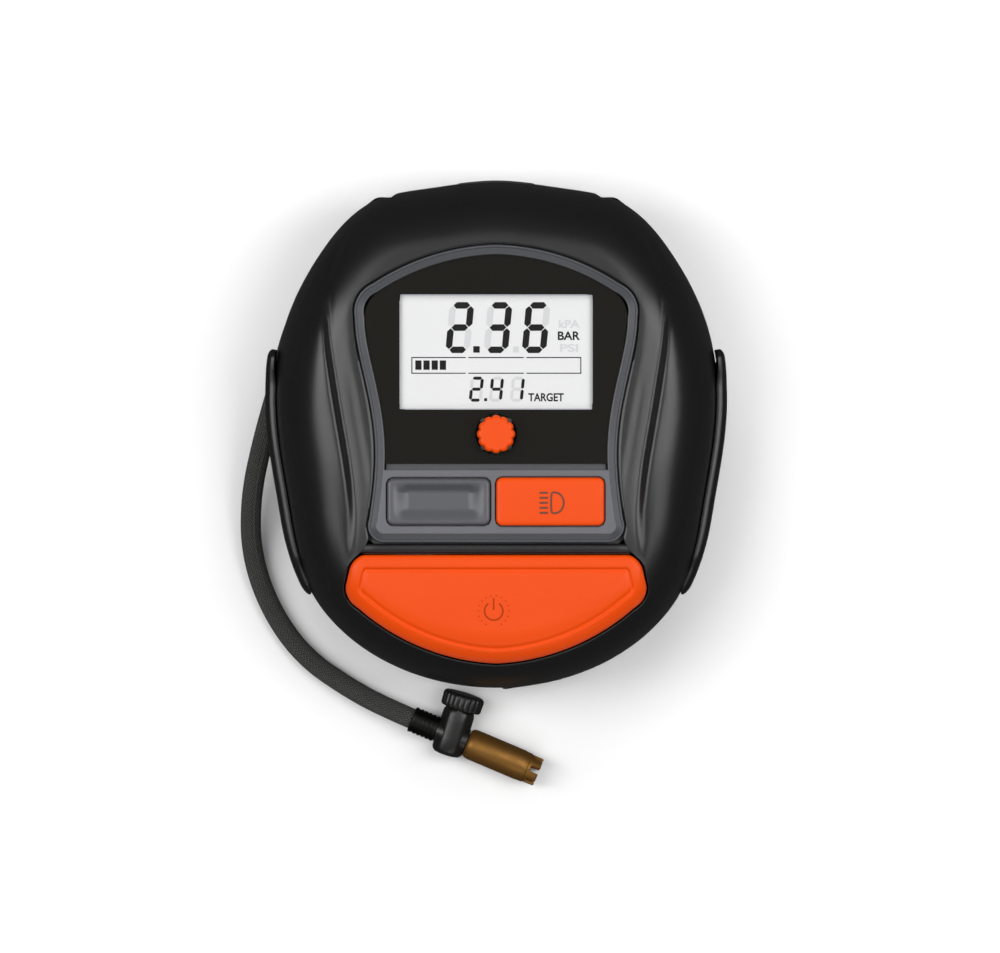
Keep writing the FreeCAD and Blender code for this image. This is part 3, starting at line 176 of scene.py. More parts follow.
def rounded_rectangle(width: float, length: float, radius: float, count: int) -> Array:
    """Closed contour of a rectangle with round corners, centred on the origin, counter-clockwise."""
    corners = []
    for quarter, (sx, sy) in enumerate(((1, -1), (1, 1), (-1, 1), (-1, -1))):
        turn = np.radians(np.linspace(-90, 0, 9) + 90 * quarter)
        middle = np.array([sx * (width / 2 - radius), sy * (length / 2 - radius)])
        corners.append(middle + radius * np.stack([np.cos(turn), np.sin(turn)], axis=1))
    return resampled(np.vstack(corners), count)


def smooth_step(low: float, high: float, value: Array) -> Array:
    """0 below low, 1 above high, and a smooth S between them."""
    share = np.clip((np.asarray(value) - low) / (high - low), 0.0, 1.0)
    return share * share * (3.0 - 2.0 * share)


# ------------------------------------------------------------------ meshes


@dataclass
class Shape:
    """Grids of points that become one mesh."""

    name: str
    points: list[Array] = field(default_factory=list)
    faces: list[Array] = field(default_factory=list)
    uvs: list[Array] = field(default_factory=list)
    count: int = 0

    def grid(self, rows: Array, close_rows: bool = False, close_columns: bool = True) -> "Shape":
        """Adds a surface through a grid of points.

        Args:
            rows: points, shape (rows, columns, 3), in millimetres.
            close_rows: whether the last row joins the first.
            close_columns: whether the last column joins the first.

        Returns:
            The same shape, so that calls can follow each other.
        """
        r, c = rows.shape[:2]
        i = np.arange(r if close_rows else r - 1)[:, None]
        j = np.arange(c if close_columns else c - 1)[None, :]
        quads = np.stack(
            [
                i * c + j,
                i * c + (j + 1) % c,
                ((i + 1) % r) * c + (j + 1) % c,
                ((i + 1) % r) * c + j,
            ],
            axis=-1,
        ).reshape(-1, 4)
        around = np.broadcast_to(np.stack([j, j + 1, j + 1, j], axis=-1) / c, (len(i), j.shape[1], 4))
        up = np.broadcast_to(np.stack([i, i, i + 1, i + 1], axis=-1) / r, (len(i), j.shape[1], 4))
        self.uvs.append(np.stack([around, up], axis=-1).reshape(-1, 2))
        self.faces.append(quads + self.count)
        self.points.append(rows.reshape(-1, 3))
        self.count += r * c
        return self

    def flat(self, polygons: Sequence[Array], height: float) -> "Shape":
        """Adds four-cornered flat pieces, given as arrays of shape (4, 2), at a height."""
        for corners in polygons:
            raised = np.column_stack([corners, np.full(len(corners), height)])
            self.points.append(raised)
            self.faces.append(np.arange(4)[None, :] + self.count)
            self.uvs.append(np.zeros((4, 2)))
            self.count += 4
        return self

    def make(self, merge: float = 0.002, outwards: bool = True, smooth: float = 40.0) -> bpy.types.Object:
        """Makes the mesh, merges its seams and turns its faces outwards.

        Args:
            merge: how near two points are when they become one, in millimetres.
            outwards: whether to work out which way is out, for a closed shape.
            smooth: edges that turn by more than this many degrees stay sharp.

        Returns:
            The new object, at the origin.
        """
        mesh = bpy.data.meshes.new(self.name)
        points = np.vstack(self.points) * METRES
        faces = np.vstack(self.faces)
        mesh.from_pydata(points.tolist(), [], faces.tolist())
        layer = mesh.uv_layers.new(name="UVMap")
        layer.data.foreach_set("uv", np.vstack(self.uvs).astype(np.float32).ravel())
        work = bmesh.new()
        work.from_mesh(mesh)
        bmesh.ops.remove_doubles(work, verts=work.verts, dist=merge * METRES)
        if outwards:
            bmesh.ops.recalc_face_normals(work, faces=work.faces)
        for face in work.faces:
            face.smooth = True
        limit = math.radians(smooth)
        for edge in work.edges:
            edge.smooth = len(edge.link_faces) == 2 and edge.calc_face_angle(0.0) < limit
        work.to_mesh(mesh)
        work.free()
        return placed(self.name, mesh)


def mesh_of(curve: Any) -> bpy.types.Mesh:
    """The mesh of a curve or a text. Its holder goes again."""
    holder = bpy.data.objects.new(curve.name + "_holder", curve)
    bpy.context.scene.collection.objects.link(holder)
    mesh = bpy.data.meshes.new_from_object(holder.evaluated_get(bpy.context.evaluated_depsgraph_get()))
    bpy.data.objects.remove(holder)
    return mesh


def placed(name: str, mesh: bpy.types.Mesh) -> bpy.types.Object:
    """A new object at the origin with a mesh, in the scene."""
    piece = bpy.data.objects.new(name, mesh)
    bpy.context.scene.collection.objects.link(piece)
    return piece


def capped(rows: Array) -> Array:
    """The rows with a point at each end, which closes them."""
    ends = [np.broadcast_to(rows[k].mean(axis=0), rows[k].shape) for k in (0, -1)]
    return np.concatenate([[ends[0]], rows, [ends[1]]])


def levels(contour: Array, profile: Profile, rounds: int = 2) -> Array:
    """Rows of points: the contour moved inwards by each inset and lifted to each height.

    Args:
        contour: a closed contour, shape (n, 2).
        profile: pairs of inset and height.
        rounds: how much the normals are softened first.

    Returns:
        A grid, shape (len(profile), n, 3).
    """
    rows = []
    for distance, height in profile:
        moved = inset(contour, distance, rounds)
        rows.append(np.column_stack([moved, np.full(len(moved), height)]))
    return np.stack(rows)


def collapsed(row: Array, spine: float, steps: int, middle: Sequence[float]) -> Array:
    """Rows that shrink a closed row onto a short spine along X through its middle.

    Args:
        row: the outermost row, shape (n, 3). Its height is kept.
        spine: half length of the spine.
        steps: how many rows to give back, the last one on the spine.
        middle: the spine's centre.

    Returns:
        A grid, shape (steps, n, 3). Its last row lies on evenly spread stations of the spine, which the
        points of both sides share, so that they merge and the surface is closed.
    """
    spacing = np.linalg.norm(np.roll(row, -1, axis=0) - row, axis=1).mean()
    pitch = spine / max(1, round(spine / (2.0 * spacing)))
    x = np.round(np.clip(row[:, 0] - middle[0], -spine, spine) / pitch) * pitch + middle[0]
    target = np.column_stack([x, np.full(len(row), middle[1]), row[:, 2]])
    share = (np.arange(1, steps + 1) / steps)[:, None, None]
    return row[None] * (1 - share) + target[None] * share


def lathe(profile: Profile, columns: int, wave: Optional[Callable[[Array, Array], Array]] = None) -> Array:
    """A profile of (distance along, radius) turned about the X axis.

    Args:
        profile: pairs of distance along the axis and radius.
        columns: points round the axis.
        wave: optional function of the angles and the profile's row numbers that gives what to add to the
            radius.

    Returns:
        A grid, shape (len(profile), columns, 3).
    """
    along = np.array([p[0] for p in profile])[:, None]
    radius = np.array([p[1] for p in profile])[:, None]
    turn = np.linspace(0, 2 * np.pi, columns, endpoint=False)[None, :]
    if wave is not None:
        radius = radius + wave(turn, np.arange(len(profile))[:, None])
    return np.stack(
        [along + 0 * turn, radius * np.cos(turn), radius * np.sin(turn)],
        axis=-1,
    )


def ribbon(line: Array, width: float, closed: bool = False) -> list[Array]:
    """Flat four-cornered pieces along a line, half the width to each side."""
    along = np.gradient(line, axis=0)
    if closed:
        along = np.roll(line, -1, axis=0) - np.roll(line, 1, axis=0)
    out = np.stack([along[:, 1], -along[:, 0]], axis=1)
    out = out / np.linalg.norm(out, axis=1, keepdims=True) * width / 2
    right, left = line + out, line - out
    last = len(line) if closed else len(line) - 1
    k = np.arange(last)
    nxt = (k + 1) % len(line)
    corners = np.stack([right[k], right[nxt], left[nxt], left[k]], axis=1)
    return list(corners)


# ------------------------------------------------------------------ shader groups


class Group(Enum):
    """Shader node groups that several finishes share."""

    MOULDED = "moulded_surface"
    BRAID = "braided_strands"
    TURNED = "turned_rings"


def new_group(kind: Group, inputs: Sequence[tuple[str, str, Any]], outputs: Sequence[tuple[str, str]]) -> Any:
    """An empty shader node group with its sockets.

    Args:
        kind: which group it is, which gives its name.
        inputs: each socket's name, type and starting value.
        outputs: each socket's name and type.

    Returns:
        The node tree.
    """
    tree = bpy.data.node_groups.new(kind.value, "ShaderNodeTree")
    for name, socket, value in inputs:
        made = tree.interface.new_socket(name=name, in_out="INPUT", socket_type=socket)
        if value is not None:
            made.default_value = value
    for name, socket in outputs:
        tree.interface.new_socket(name=name, in_out="OUTPUT", socket_type=socket)
    return tree


@dataclass
class Wiring:
    """Adds and joins shader nodes in one tree."""

    tree: Any

    def add(self, kind: str, **values: Any) -> Any:
        """A new node with some of its properties set."""
        made = self.tree.nodes.new(kind)
        for key, value in values.items():
            setattr(made, key, value)
        return made

    def join(self, source: Any, target: Any) -> None:
        """Links an output socket to an input socket."""
        self.tree.links.new(source, target)

    def feed(self, target: Any, value: Any) -> None:
        """Sets an input socket to a number, or links it to an output socket."""
        if isinstance(value, bpy.types.NodeSocket):
            self.join(value, target)
        else:
            target.default_value = value

    def maths(self, operation: str, first: Any, second: Any = 0.0, third: Any = 0.0) -> Any:
        """A Math node's result."""
        made = self.add("ShaderNodeMath", operation=operation)
        for socket, value in zip(made.inputs, (first, second, third)):
            self.feed(socket, value)
        return made.outputs[0]

    def bump(self, height: Any, shader: Any, strength: float, distance: float = 0.0002) -> None:
        """Feeds a height into a shader's normal."""
        made = self.add("ShaderNodeBump")
        made.inputs["Strength"].default_value = strength
        made.inputs["Distance"].default_value = distance
        self.join(height, made.inputs["Height"])
        self.join(made.outputs["Normal"], shader.inputs["Normal"])

    def noise(self, vector: Any, scale: Any, detail: float = 3.0) -> Any:
        """A Noise Texture's value, from 0 to 1."""
        made = self.add("ShaderNodeTexNoise")
        self.feed(made.inputs["Vector"], vector)
        self.feed(made.inputs["Scale"], scale)
        made.inputs["Detail"].default_value = detail
        return made.outputs["Fac"]

    def blend(self, share: Any, first: Any, second: Any) -> Any:
        """A mix of two colours."""
        made = self.add("ShaderNodeMix", data_type="RGBA")
        self.feed(made.inputs[0], share)
        self.feed(made.inputs[6], first)
        self.feed(made.inputs[7], second)
        return made.outputs[2]


def fresh_material(name: str) -> tuple[bpy.types.Material, Wiring, Any, Any]:
    """A new material with its wiring, its shader and its texture coordinates."""
    made = bpy.data.materials.new(name)
    made.use_nodes = True
    w = Wiring(made.node_tree)
    return made, w, made.node_tree.nodes["Principled BSDF"], w.add("ShaderNodeTexCoord")


def moulded_group() -> Any:
    """Fine grain of a moulded or rubbed surface, with slow changes of tone and of gloss."""
    tree = new_group(
        Group.MOULDED,
        [
            ("Vector", "NodeSocketVector", None),
            ("Colour", "NodeSocketColor", (0.5, 0.5, 0.5, 1.0)),
            ("Tone", "NodeSocketFloat", 0.1),
            ("Grain", "NodeSocketFloat", 2500.0),
            ("Roughness", "NodeSocketFloat", 0.5),
            ("Gloss change", "NodeSocketFloat", 0.06),
        ],
        [
            ("Colour", "NodeSocketColor"),
            ("Roughness", "NodeSocketFloat"),
            ("Height", "NodeSocketFloat"),
        ],
    )
    w = Wiring(tree)
    given, result = w.add("NodeGroupInput"), w.add("NodeGroupOutput")
    slow = w.noise(given.outputs["Vector"], 28.0, 4.0)
    fine = w.noise(given.outputs["Vector"], given.outputs["Grain"], 2.0)
    shift = w.maths("MULTIPLY", w.maths("SUBTRACT", slow, 0.5), given.outputs["Tone"])
    bright = w.maths("ADD", shift, 1.0)
    scaled = w.add("ShaderNodeVectorMath", operation="SCALE")
    w.join(given.outputs["Colour"], scaled.inputs[0])
    w.join(bright, scaled.inputs["Scale"])
    w.join(scaled.outputs[0], result.inputs["Colour"])
    rubbed = w.maths("MULTIPLY", w.maths("SUBTRACT", slow, 0.5), given.outputs["Gloss change"])
    w.join(w.maths("ADD", rubbed, given.outputs["Roughness"]), result.inputs["Roughness"])
    w.join(fine, result.inputs["Height"])
    return tree


def braid_group() -> Any:
    """Strands that cross each other in two directions round a hose.

    The UV map holds the turn about the hose and the length along it. Two slanting waves cross, and a third
    says which of them lies on top. The height cubed picks out the strands' tops for a painted sheen.
    """
    tree = new_group(
        Group.BRAID,
        [
            ("Vector", "NodeSocketVector", None),
            ("Strands", "NodeSocketFloat", 16.0),
            ("Pitch", "NodeSocketFloat", 120.0),
        ],
        [("Height", "NodeSocketFloat"), ("Painted sheen", "NodeSocketFloat")],
    )
    w = Wiring(tree)
    given, result = w.add("NodeGroupInput"), w.add("NodeGroupOutput")
    parts = w.add("ShaderNodeSeparateXYZ")
    w.join(given.outputs["Vector"], parts.inputs[0])
    around = w.maths("MULTIPLY", parts.outputs["X"], given.outputs["Strands"])
    along = w.maths("MULTIPLY", parts.outputs["Y"], given.outputs["Pitch"])
    waves = []
    for lean in ("ADD", "SUBTRACT"):
        phase = w.maths("MULTIPLY", w.maths(lean, around, along), 2 * math.pi)
        waves.append(w.maths("ABSOLUTE", w.maths("SINE", phase)))
    over = w.maths("SINE", w.maths("MULTIPLY", around, 2 * math.pi))
    side = w.maths("MULTIPLY_ADD", over, 0.5, 0.5)
    first = w.maths("MULTIPLY", waves[0], side)
    second = w.maths("MULTIPLY", waves[1], w.maths("SUBTRACT", 1.0, side))
    height = w.maths("ADD", first, second)
    w.join(height, result.inputs["Height"])
    # Painted sheen: the height cubed marks the strands' tops, which the finish colours paler.
    w.join(w.maths("POWER", height, 3.0), result.inputs["Painted sheen"])
    return tree


def turned_group() -> Any:
    """Fine rings that a lathe leaves, along X of the vector given."""
    tree = new_group(
        Group.TURNED,
        [("Vector", "NodeSocketVector", None), ("Rings", "NodeSocketFloat", 1500.0)],
        [("Height", "NodeSocketFloat"), ("Stain", "NodeSocketFloat")],
    )
    w = Wiring(tree)
    given, result = w.add("NodeGroupInput"), w.add("NodeGroupOutput")
    squeezed = w.add("ShaderNodeVectorMath", operation="MULTIPLY")
    w.join(given.outputs["Vector"], squeezed.inputs[0])
    squeezed.inputs[1].default_value = (1.0, 0.02, 0.02)
    w.join(w.noise(squeezed.outputs[0], given.outputs["Rings"], 2.0), result.inputs["Height"])
    w.join(w.noise(given.outputs["Vector"], 180.0, 4.0), result.inputs["Stain"])
    return tree


# ------------------------------------------------------------------ finishes


@dataclass(frozen=True)
class Moulded:
    """Plastic or rubber out of a mould: one colour, a fine grain and slow changes of gloss."""

    slot: str
    colour: tuple[float, float, float]
    roughness: float = 0.5
    grain: float = 2600.0
    depth: float = 0.25
    tone: float = 0.16
    gloss_change: float = 0.08
    alpha: float = 1.0
    glow: float = 0.0
    specular: float = 0.5

    def material(self, groups: dict[Group, Any]) -> bpy.types.Material:
        """Makes the material.

        Args:
            groups: the shader groups, by kind.

        Returns:
            The new material.
        """
        made, w, shader, where = fresh_material(self.slot)
        grain = w.add("ShaderNodeGroup", node_tree=groups[Group.MOULDED])
        w.join(where.outputs["Object"], grain.inputs["Vector"])
        grain.inputs["Colour"].default_value = (*self.colour, 1.0)
        for socket, value in (
            ("Tone", self.tone),
            ("Grain", self.grain),
            ("Roughness", self.roughness),
            ("Gloss change", self.gloss_change),
        ):
            grain.inputs[socket].default_value = value
        w.join(grain.outputs["Colour"], shader.inputs["Base Color"])
        w.join(grain.outputs["Roughness"], shader.inputs["Roughness"])
        w.bump(grain.outputs["Height"], shader, self.depth)
        shader.inputs["Specular IOR Level"].default_value = self.specular
        shader.inputs["Alpha"].default_value = self.alpha
        if self.glow:
            w.join(grain.outputs["Colour"], shader.inputs["Emission Color"])
            shader.inputs["Emission Strength"].default_value = self.glow
        return made


@dataclass(frozen=True)
class Braided:
    """A hose's woven braid: dark strands, their crowns made paler where they cross as a painted sheen."""

    slot: str
    dark: tuple[float, float, float]
    # crown is the colour of the painted sheen on the strands' tops.
    crown: tuple[float, float, float]
    strands: float = 14.0
    pitch: float = 330.0

    def material(self, groups: dict[Group, Any]) -> bpy.types.Material:
        """Makes the material, from the groups by kind."""
        made, w, shader, where = fresh_material(self.slot)
        braid = w.add("ShaderNodeGroup", node_tree=groups[Group.BRAID])
        w.join(where.outputs["UV"], braid.inputs["Vector"])
        braid.inputs["Strands"].default_value = self.strands
        braid.inputs["Pitch"].default_value = self.pitch
        # Painted sheen: the strands' tops turn towards the crown colour, speckled by fine noise.
        fleck = w.noise(where.outputs["Object"], 1400.0, 2.0)
        share = w.maths("MULTIPLY", braid.outputs["Painted sheen"], fleck)
        colour = w.blend(share, (*self.dark, 1.0), (*self.crown, 1.0))
        w.join(colour, shader.inputs["Base Color"])
        w.bump(braid.outputs["Height"], shader, 0.9, 0.0004)
        shader.inputs["Roughness"].default_value = 0.5
        return made


@dataclass(frozen=True)
class Turned:
    """Metal off a lathe or out of a die: fine rings, and stains that change its gloss."""

    slot: str
    colour: tuple[float, float, float]
    stain: tuple[float, float, float]
    roughness: float = 0.3
    rings: float = 1500.0
    depth: float = 0.2
    angle: float = 0.0
    metallic: float = 1.0

    def material(self, groups: dict[Group, Any]) -> bpy.types.Material:
        """Makes the material, from the groups by kind."""
        made, w, shader, where = fresh_material(self.slot)
        turned = w.add("ShaderNodeMapping")
        turned.inputs["Rotation"].default_value = (0.0, 0.0, -math.radians(self.angle))
        w.join(where.outputs["Object"], turned.inputs["Vector"])
        rings = w.add("ShaderNodeGroup", node_tree=groups[Group.TURNED])
        w.join(turned.outputs["Vector"], rings.inputs["Vector"])
        rings.inputs["Rings"].default_value = self.rings
        colour = w.blend(rings.outputs["Stain"], (*self.colour, 1.0), (*self.stain, 1.0))
        w.join(colour, shader.inputs["Base Color"])
        rough = w.maths("MULTIPLY_ADD", rings.outputs["Stain"], 0.25, self.roughness - 0.12)
        w.join(rough, shader.inputs["Roughness"])
        w.bump(rings.outputs["Height"], shader, self.depth)
        shader.inputs["Metallic"].default_value = self.metallic
        return made


ORANGE = (0.72, 0.062, 0.0002)
FINISHES = (
    Moulded("shell_black", (0.0072, 0.0073, 0.0072), 0.31, 3000.0, 0.22),
    Moulded("bezel_grey", (0.060, 0.062, 0.069), 0.38, 3200.0, 0.2),
    Moulded("field_grey", (0.102, 0.103, 0.117), 0.45, 3200.0, 0.2),
    Moulded("mask_gloss", (0.0090, 0.0085, 0.0066), 0.16, 1200.0, 0.02, 0.05, 0.02),
    Moulded("clear_lens", (0.05, 0.05, 0.05), 0.05, 900.0, 0.01, 0.02, 0.01, alpha=0.03),
    Moulded("lcd_glass", (0.68, 0.682, 0.685), 0.45, 1500.0, 0.01, 0.03, 0.02, glow=0.06),
    Moulded("white_plastic", (0.72, 0.72, 0.70), 0.45),
    Moulded("board_green", (0.02, 0.13, 0.05), 0.35, 900.0, 0.3, 0.5),
    Moulded("black_plastic", (0.0085, 0.0085, 0.0080), 0.33, 2200.0, 0.4),
    Moulded("relay_blue", (0.03, 0.10, 0.40), 0.4),
    Moulded("rubber_black", (0.011, 0.011, 0.011), 0.75, 1800.0, 0.6),
    Moulded("orange", ORANGE, 0.38, 2600.0, 0.22, 0.06, 0.06, specular=0.2),
    Moulded("key_grey", (0.074, 0.075, 0.083), 0.36, 3200.0, 0.2),
    Moulded("tube_rubber", (0.02, 0.02, 0.02), 0.5, 1800.0, 0.3),
    Moulded("ferrite", (0.06, 0.06, 0.06), 0.7, 1500.0, 0.8),
    # The braid's second colour is its painted sheen.
    Braided("hose_braid", (0.0050, 0.0050, 0.0050), (0.20, 0.20, 0.185)),
    Turned("steel", (0.55, 0.55, 0.56), (0.42, 0.42, 0.42), 0.35),
    Turned("steel_dark", (0.016, 0.017, 0.016), (0.040, 0.040, 0.037), 0.42, 1500.0, 0.2, -23.0),
    Turned("die_cast", (0.60, 0.61, 0.62), (0.45, 0.45, 0.45), 0.5, 700.0, 0.6),
    Turned("brass", (0.31, 0.155, 0.036), (0.20, 0.088, 0.018), 0.48, 1500.0, 0.3, -23.0, 0.80),
)
INKS = (
    Moulded("lamp_smoke", (0.030, 0.031, 0.033), 0.08, 1500.0, 0.01, 0.03, 0.02),
    Moulded("ink_dark", (0.004, 0.004, 0.0045), 0.5, 1500.0, 0.01, 0.1, 0.02, specular=0.2),
    Moulded("ink_ghost", (0.565, 0.57, 0.582), 0.45, 1500.0, 0.01, 0.05, 0.02, glow=0.04),
    Moulded("ink_edge", (0.30, 0.31, 0.33), 0.45, 1500.0, 0.01, 0.05, 0.02),
    Moulded("icon_brown", (0.125, 0.026, 0.003), 0.45, 2600.0, 0.2, 0.1, 0.05),
    Moulded("icon_shade", (0.38, 0.036, 0.001), 0.50, 2600.0, 0.2, 0.1, 0.05, specular=0.1),
)


@dataclass
class Workshop:
    """The loaded frame and the materials, and what finishes a new piece."""

    frame: dict[str, Any]
    groups: dict[Group, Any] = field(default_factory=dict)
    materials: dict[str, bpy.types.Material] = field(default_factory=dict)

    def prepare(self) -> None:
        """Makes the shader groups and every material."""
        self.groups = {
            Group.MOULDED: moulded_group(),
            Group.BRAID: braid_group(),
            Group.TURNED: turned_group(),
        }
        for finish in FINISHES + INKS:
            self.materials[finish.slot] = finish.material(self.groups)

    def dress_cad(self) -> None:
        """Gives every CAD node the material of its record slot."""
        for row in self.frame["record"]["subparts"]:
            piece = self.frame["nodes"][row["node"]]
            for place in piece.material_slots:
                place.material = self.materials[row["material_slot"]]

    def finish(
        self,
        piece: bpy.types.Object,
        slot: str,
        body: str = "housing",
        replaced: Sequence[str] = (),
        look: Optional[str] = None,
    ) -> bpy.types.Object:
        """Gives a piece its material, its body and the CAD nodes that it stands for.

        Args:
            piece: the new piece.
            slot: the record's material slot.
            body: the CAD body that it rides on.
            replaced: CAD nodes that it replaces.
            look: the material, where it isn't the slot's own.

        Returns:
            The same piece.
        """
        piece.data.materials.clear()
        piece.data.materials.append(self.materials[look or slot])
        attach(piece, body)
        if replaced:
            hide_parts(*replaced)
        LOG.info("%s rides on %s", piece.name, body)
        return piece


# ------------------------------------------------------------------ the housing's forms


@dataclass
class Forms:
    """Contours and heights that several sub-assemblies share."""

    half_width: float = 85.3
    half_length: float = 97.5
    rim_height: float = 35.0
    deck_height: float = 75.0
    deck_scale: float = 0.76
    columns: int = 480
    knots: tuple[tuple[float, float], ...] = (
        (0.0, 1.0),
        (0.30, 0.972),
        (0.55, 0.922),
        (0.80, 0.705),
        (0.953, 0.43),
        (1.0, 0.105),
        (0.943, -0.267),
        (0.835, -0.62),
        (0.65, -0.81),
        (0.34, -0.954),
        (0.0, -1.0),
    )

    def outline(self, count: int = 1440) -> Array:
        """The housing's outline, the same closed curve as in CAD."""
        right = np.array(self.knots) * np.array([self.half_width, self.half_length])
        return closed_spline(mirrored(right), count)

    def reach(self, angle: Array) -> Array:
        """How far the outline is from the middle in each direction, for angles in radians."""
        line = self.outline()
        turn = np.arctan2(line[:, 1], line[:, 0])
        order = np.argsort(turn)
        turn, far = turn[order], np.linalg.norm(line, axis=1)[order]
        turn = np.concatenate([turn - 2 * np.pi, turn, turn + 2 * np.pi])
        return np.interp(angle, turn, np.tile(far, 3))

    def scale_at(self, x: Array, y: Array) -> Array:
        """Share of the outline's reach at which a point lies."""
        return np.hypot(x, y) / self.reach(np.arctan2(y, x))

    def dome(self, scale: Array) -> Array:
        """Height of the front cover: a flat deck that turns down to the rim on a superellipse."""
        share = np.clip((scale - self.deck_scale) / (1 - self.deck_scale), 0.0, 1.0)
        rise = self.deck_height - self.rim_height
        return self.rim_height + rise * (1.0 - share**2.3) ** (1 / 2.2)

    def bezel_right(self, grow: float = 0.0) -> Array:
        """Right half of the bezel's contour, top to bottom: arch, shoulder, waist and lower corner."""
        top = arc((0, 72.5 + grow), (24.0, 68.6 + grow), (47.2 + grow, 57.6 + grow), 40)
        shoulder = arc((47.2 + grow, 57.6 + grow), (52.6 + grow, 53.0 + 0.6 * grow), (54.1 + grow, 44.5), 14)
        knots = np.array([(54.1, 44.5), (51.6, 27.0), (47.6, 8.0), (46.3, -10.0), (48.6, -32.5)])
        down = np.linspace(44.5, -32.5, 60)
        waist = np.stack([self.through(knots, down) + grow, down], axis=1)
        corner = arc((48.6 + grow, -32.5), (47.6 + grow, -39.2 - 0.7 * grow), (42.0, -41.4 - grow), 14)
        return np.vstack([top, shoulder[1:], waist[1:], corner[1:], [[0.0, -41.4 - grow]]])

    @staticmethod
    def through(knots: Array, y: Array) -> Array:
        """x of the polynomial through knots of (x, y), at each y."""
        fit = np.polyfit(knots[:, 1], knots[:, 0], len(knots) - 1)
        return np.polyval(fit, y)

    def bezel(self, grow: float = 0.0, count: int = 400) -> Array:
        """The bezel's closed contour."""
        return resampled(mirrored(self.bezel_right(grow)), count)

    def power_key_right(self, grow: float = 0.0) -> Array:
        """Right half of the power key's contour, top to bottom: straight edge, hip and belly."""
        top = -46.1 + grow
        shoulder = arc((51.0, top), (54.6 + grow, -48.6 + 0.5 * grow), (56.4 + grow, -52.8), 14)
        hip = arc(
            (57.7 + grow, -58.3),
            (56.6 + grow, -62.9 - 0.3 * grow),
            (52.9 + 0.6 * grow, -66.6 - 0.7 * grow),
            14,
        )
        belly = arc(hip[-1], (28.5, -81.7 - grow), (0, -87.9 - grow), 60)
        return np.vstack([[[0.0, top]], shoulder, hip, belly[1:]])

    def power_key(self, grow: float = 0.0, count: int = 400) -> Array:
        """The power key's closed contour."""
        return softened(resampled(mirrored(self.power_key_right(grow)), count), 3)


# ------------------------------------------------------------------ front cover


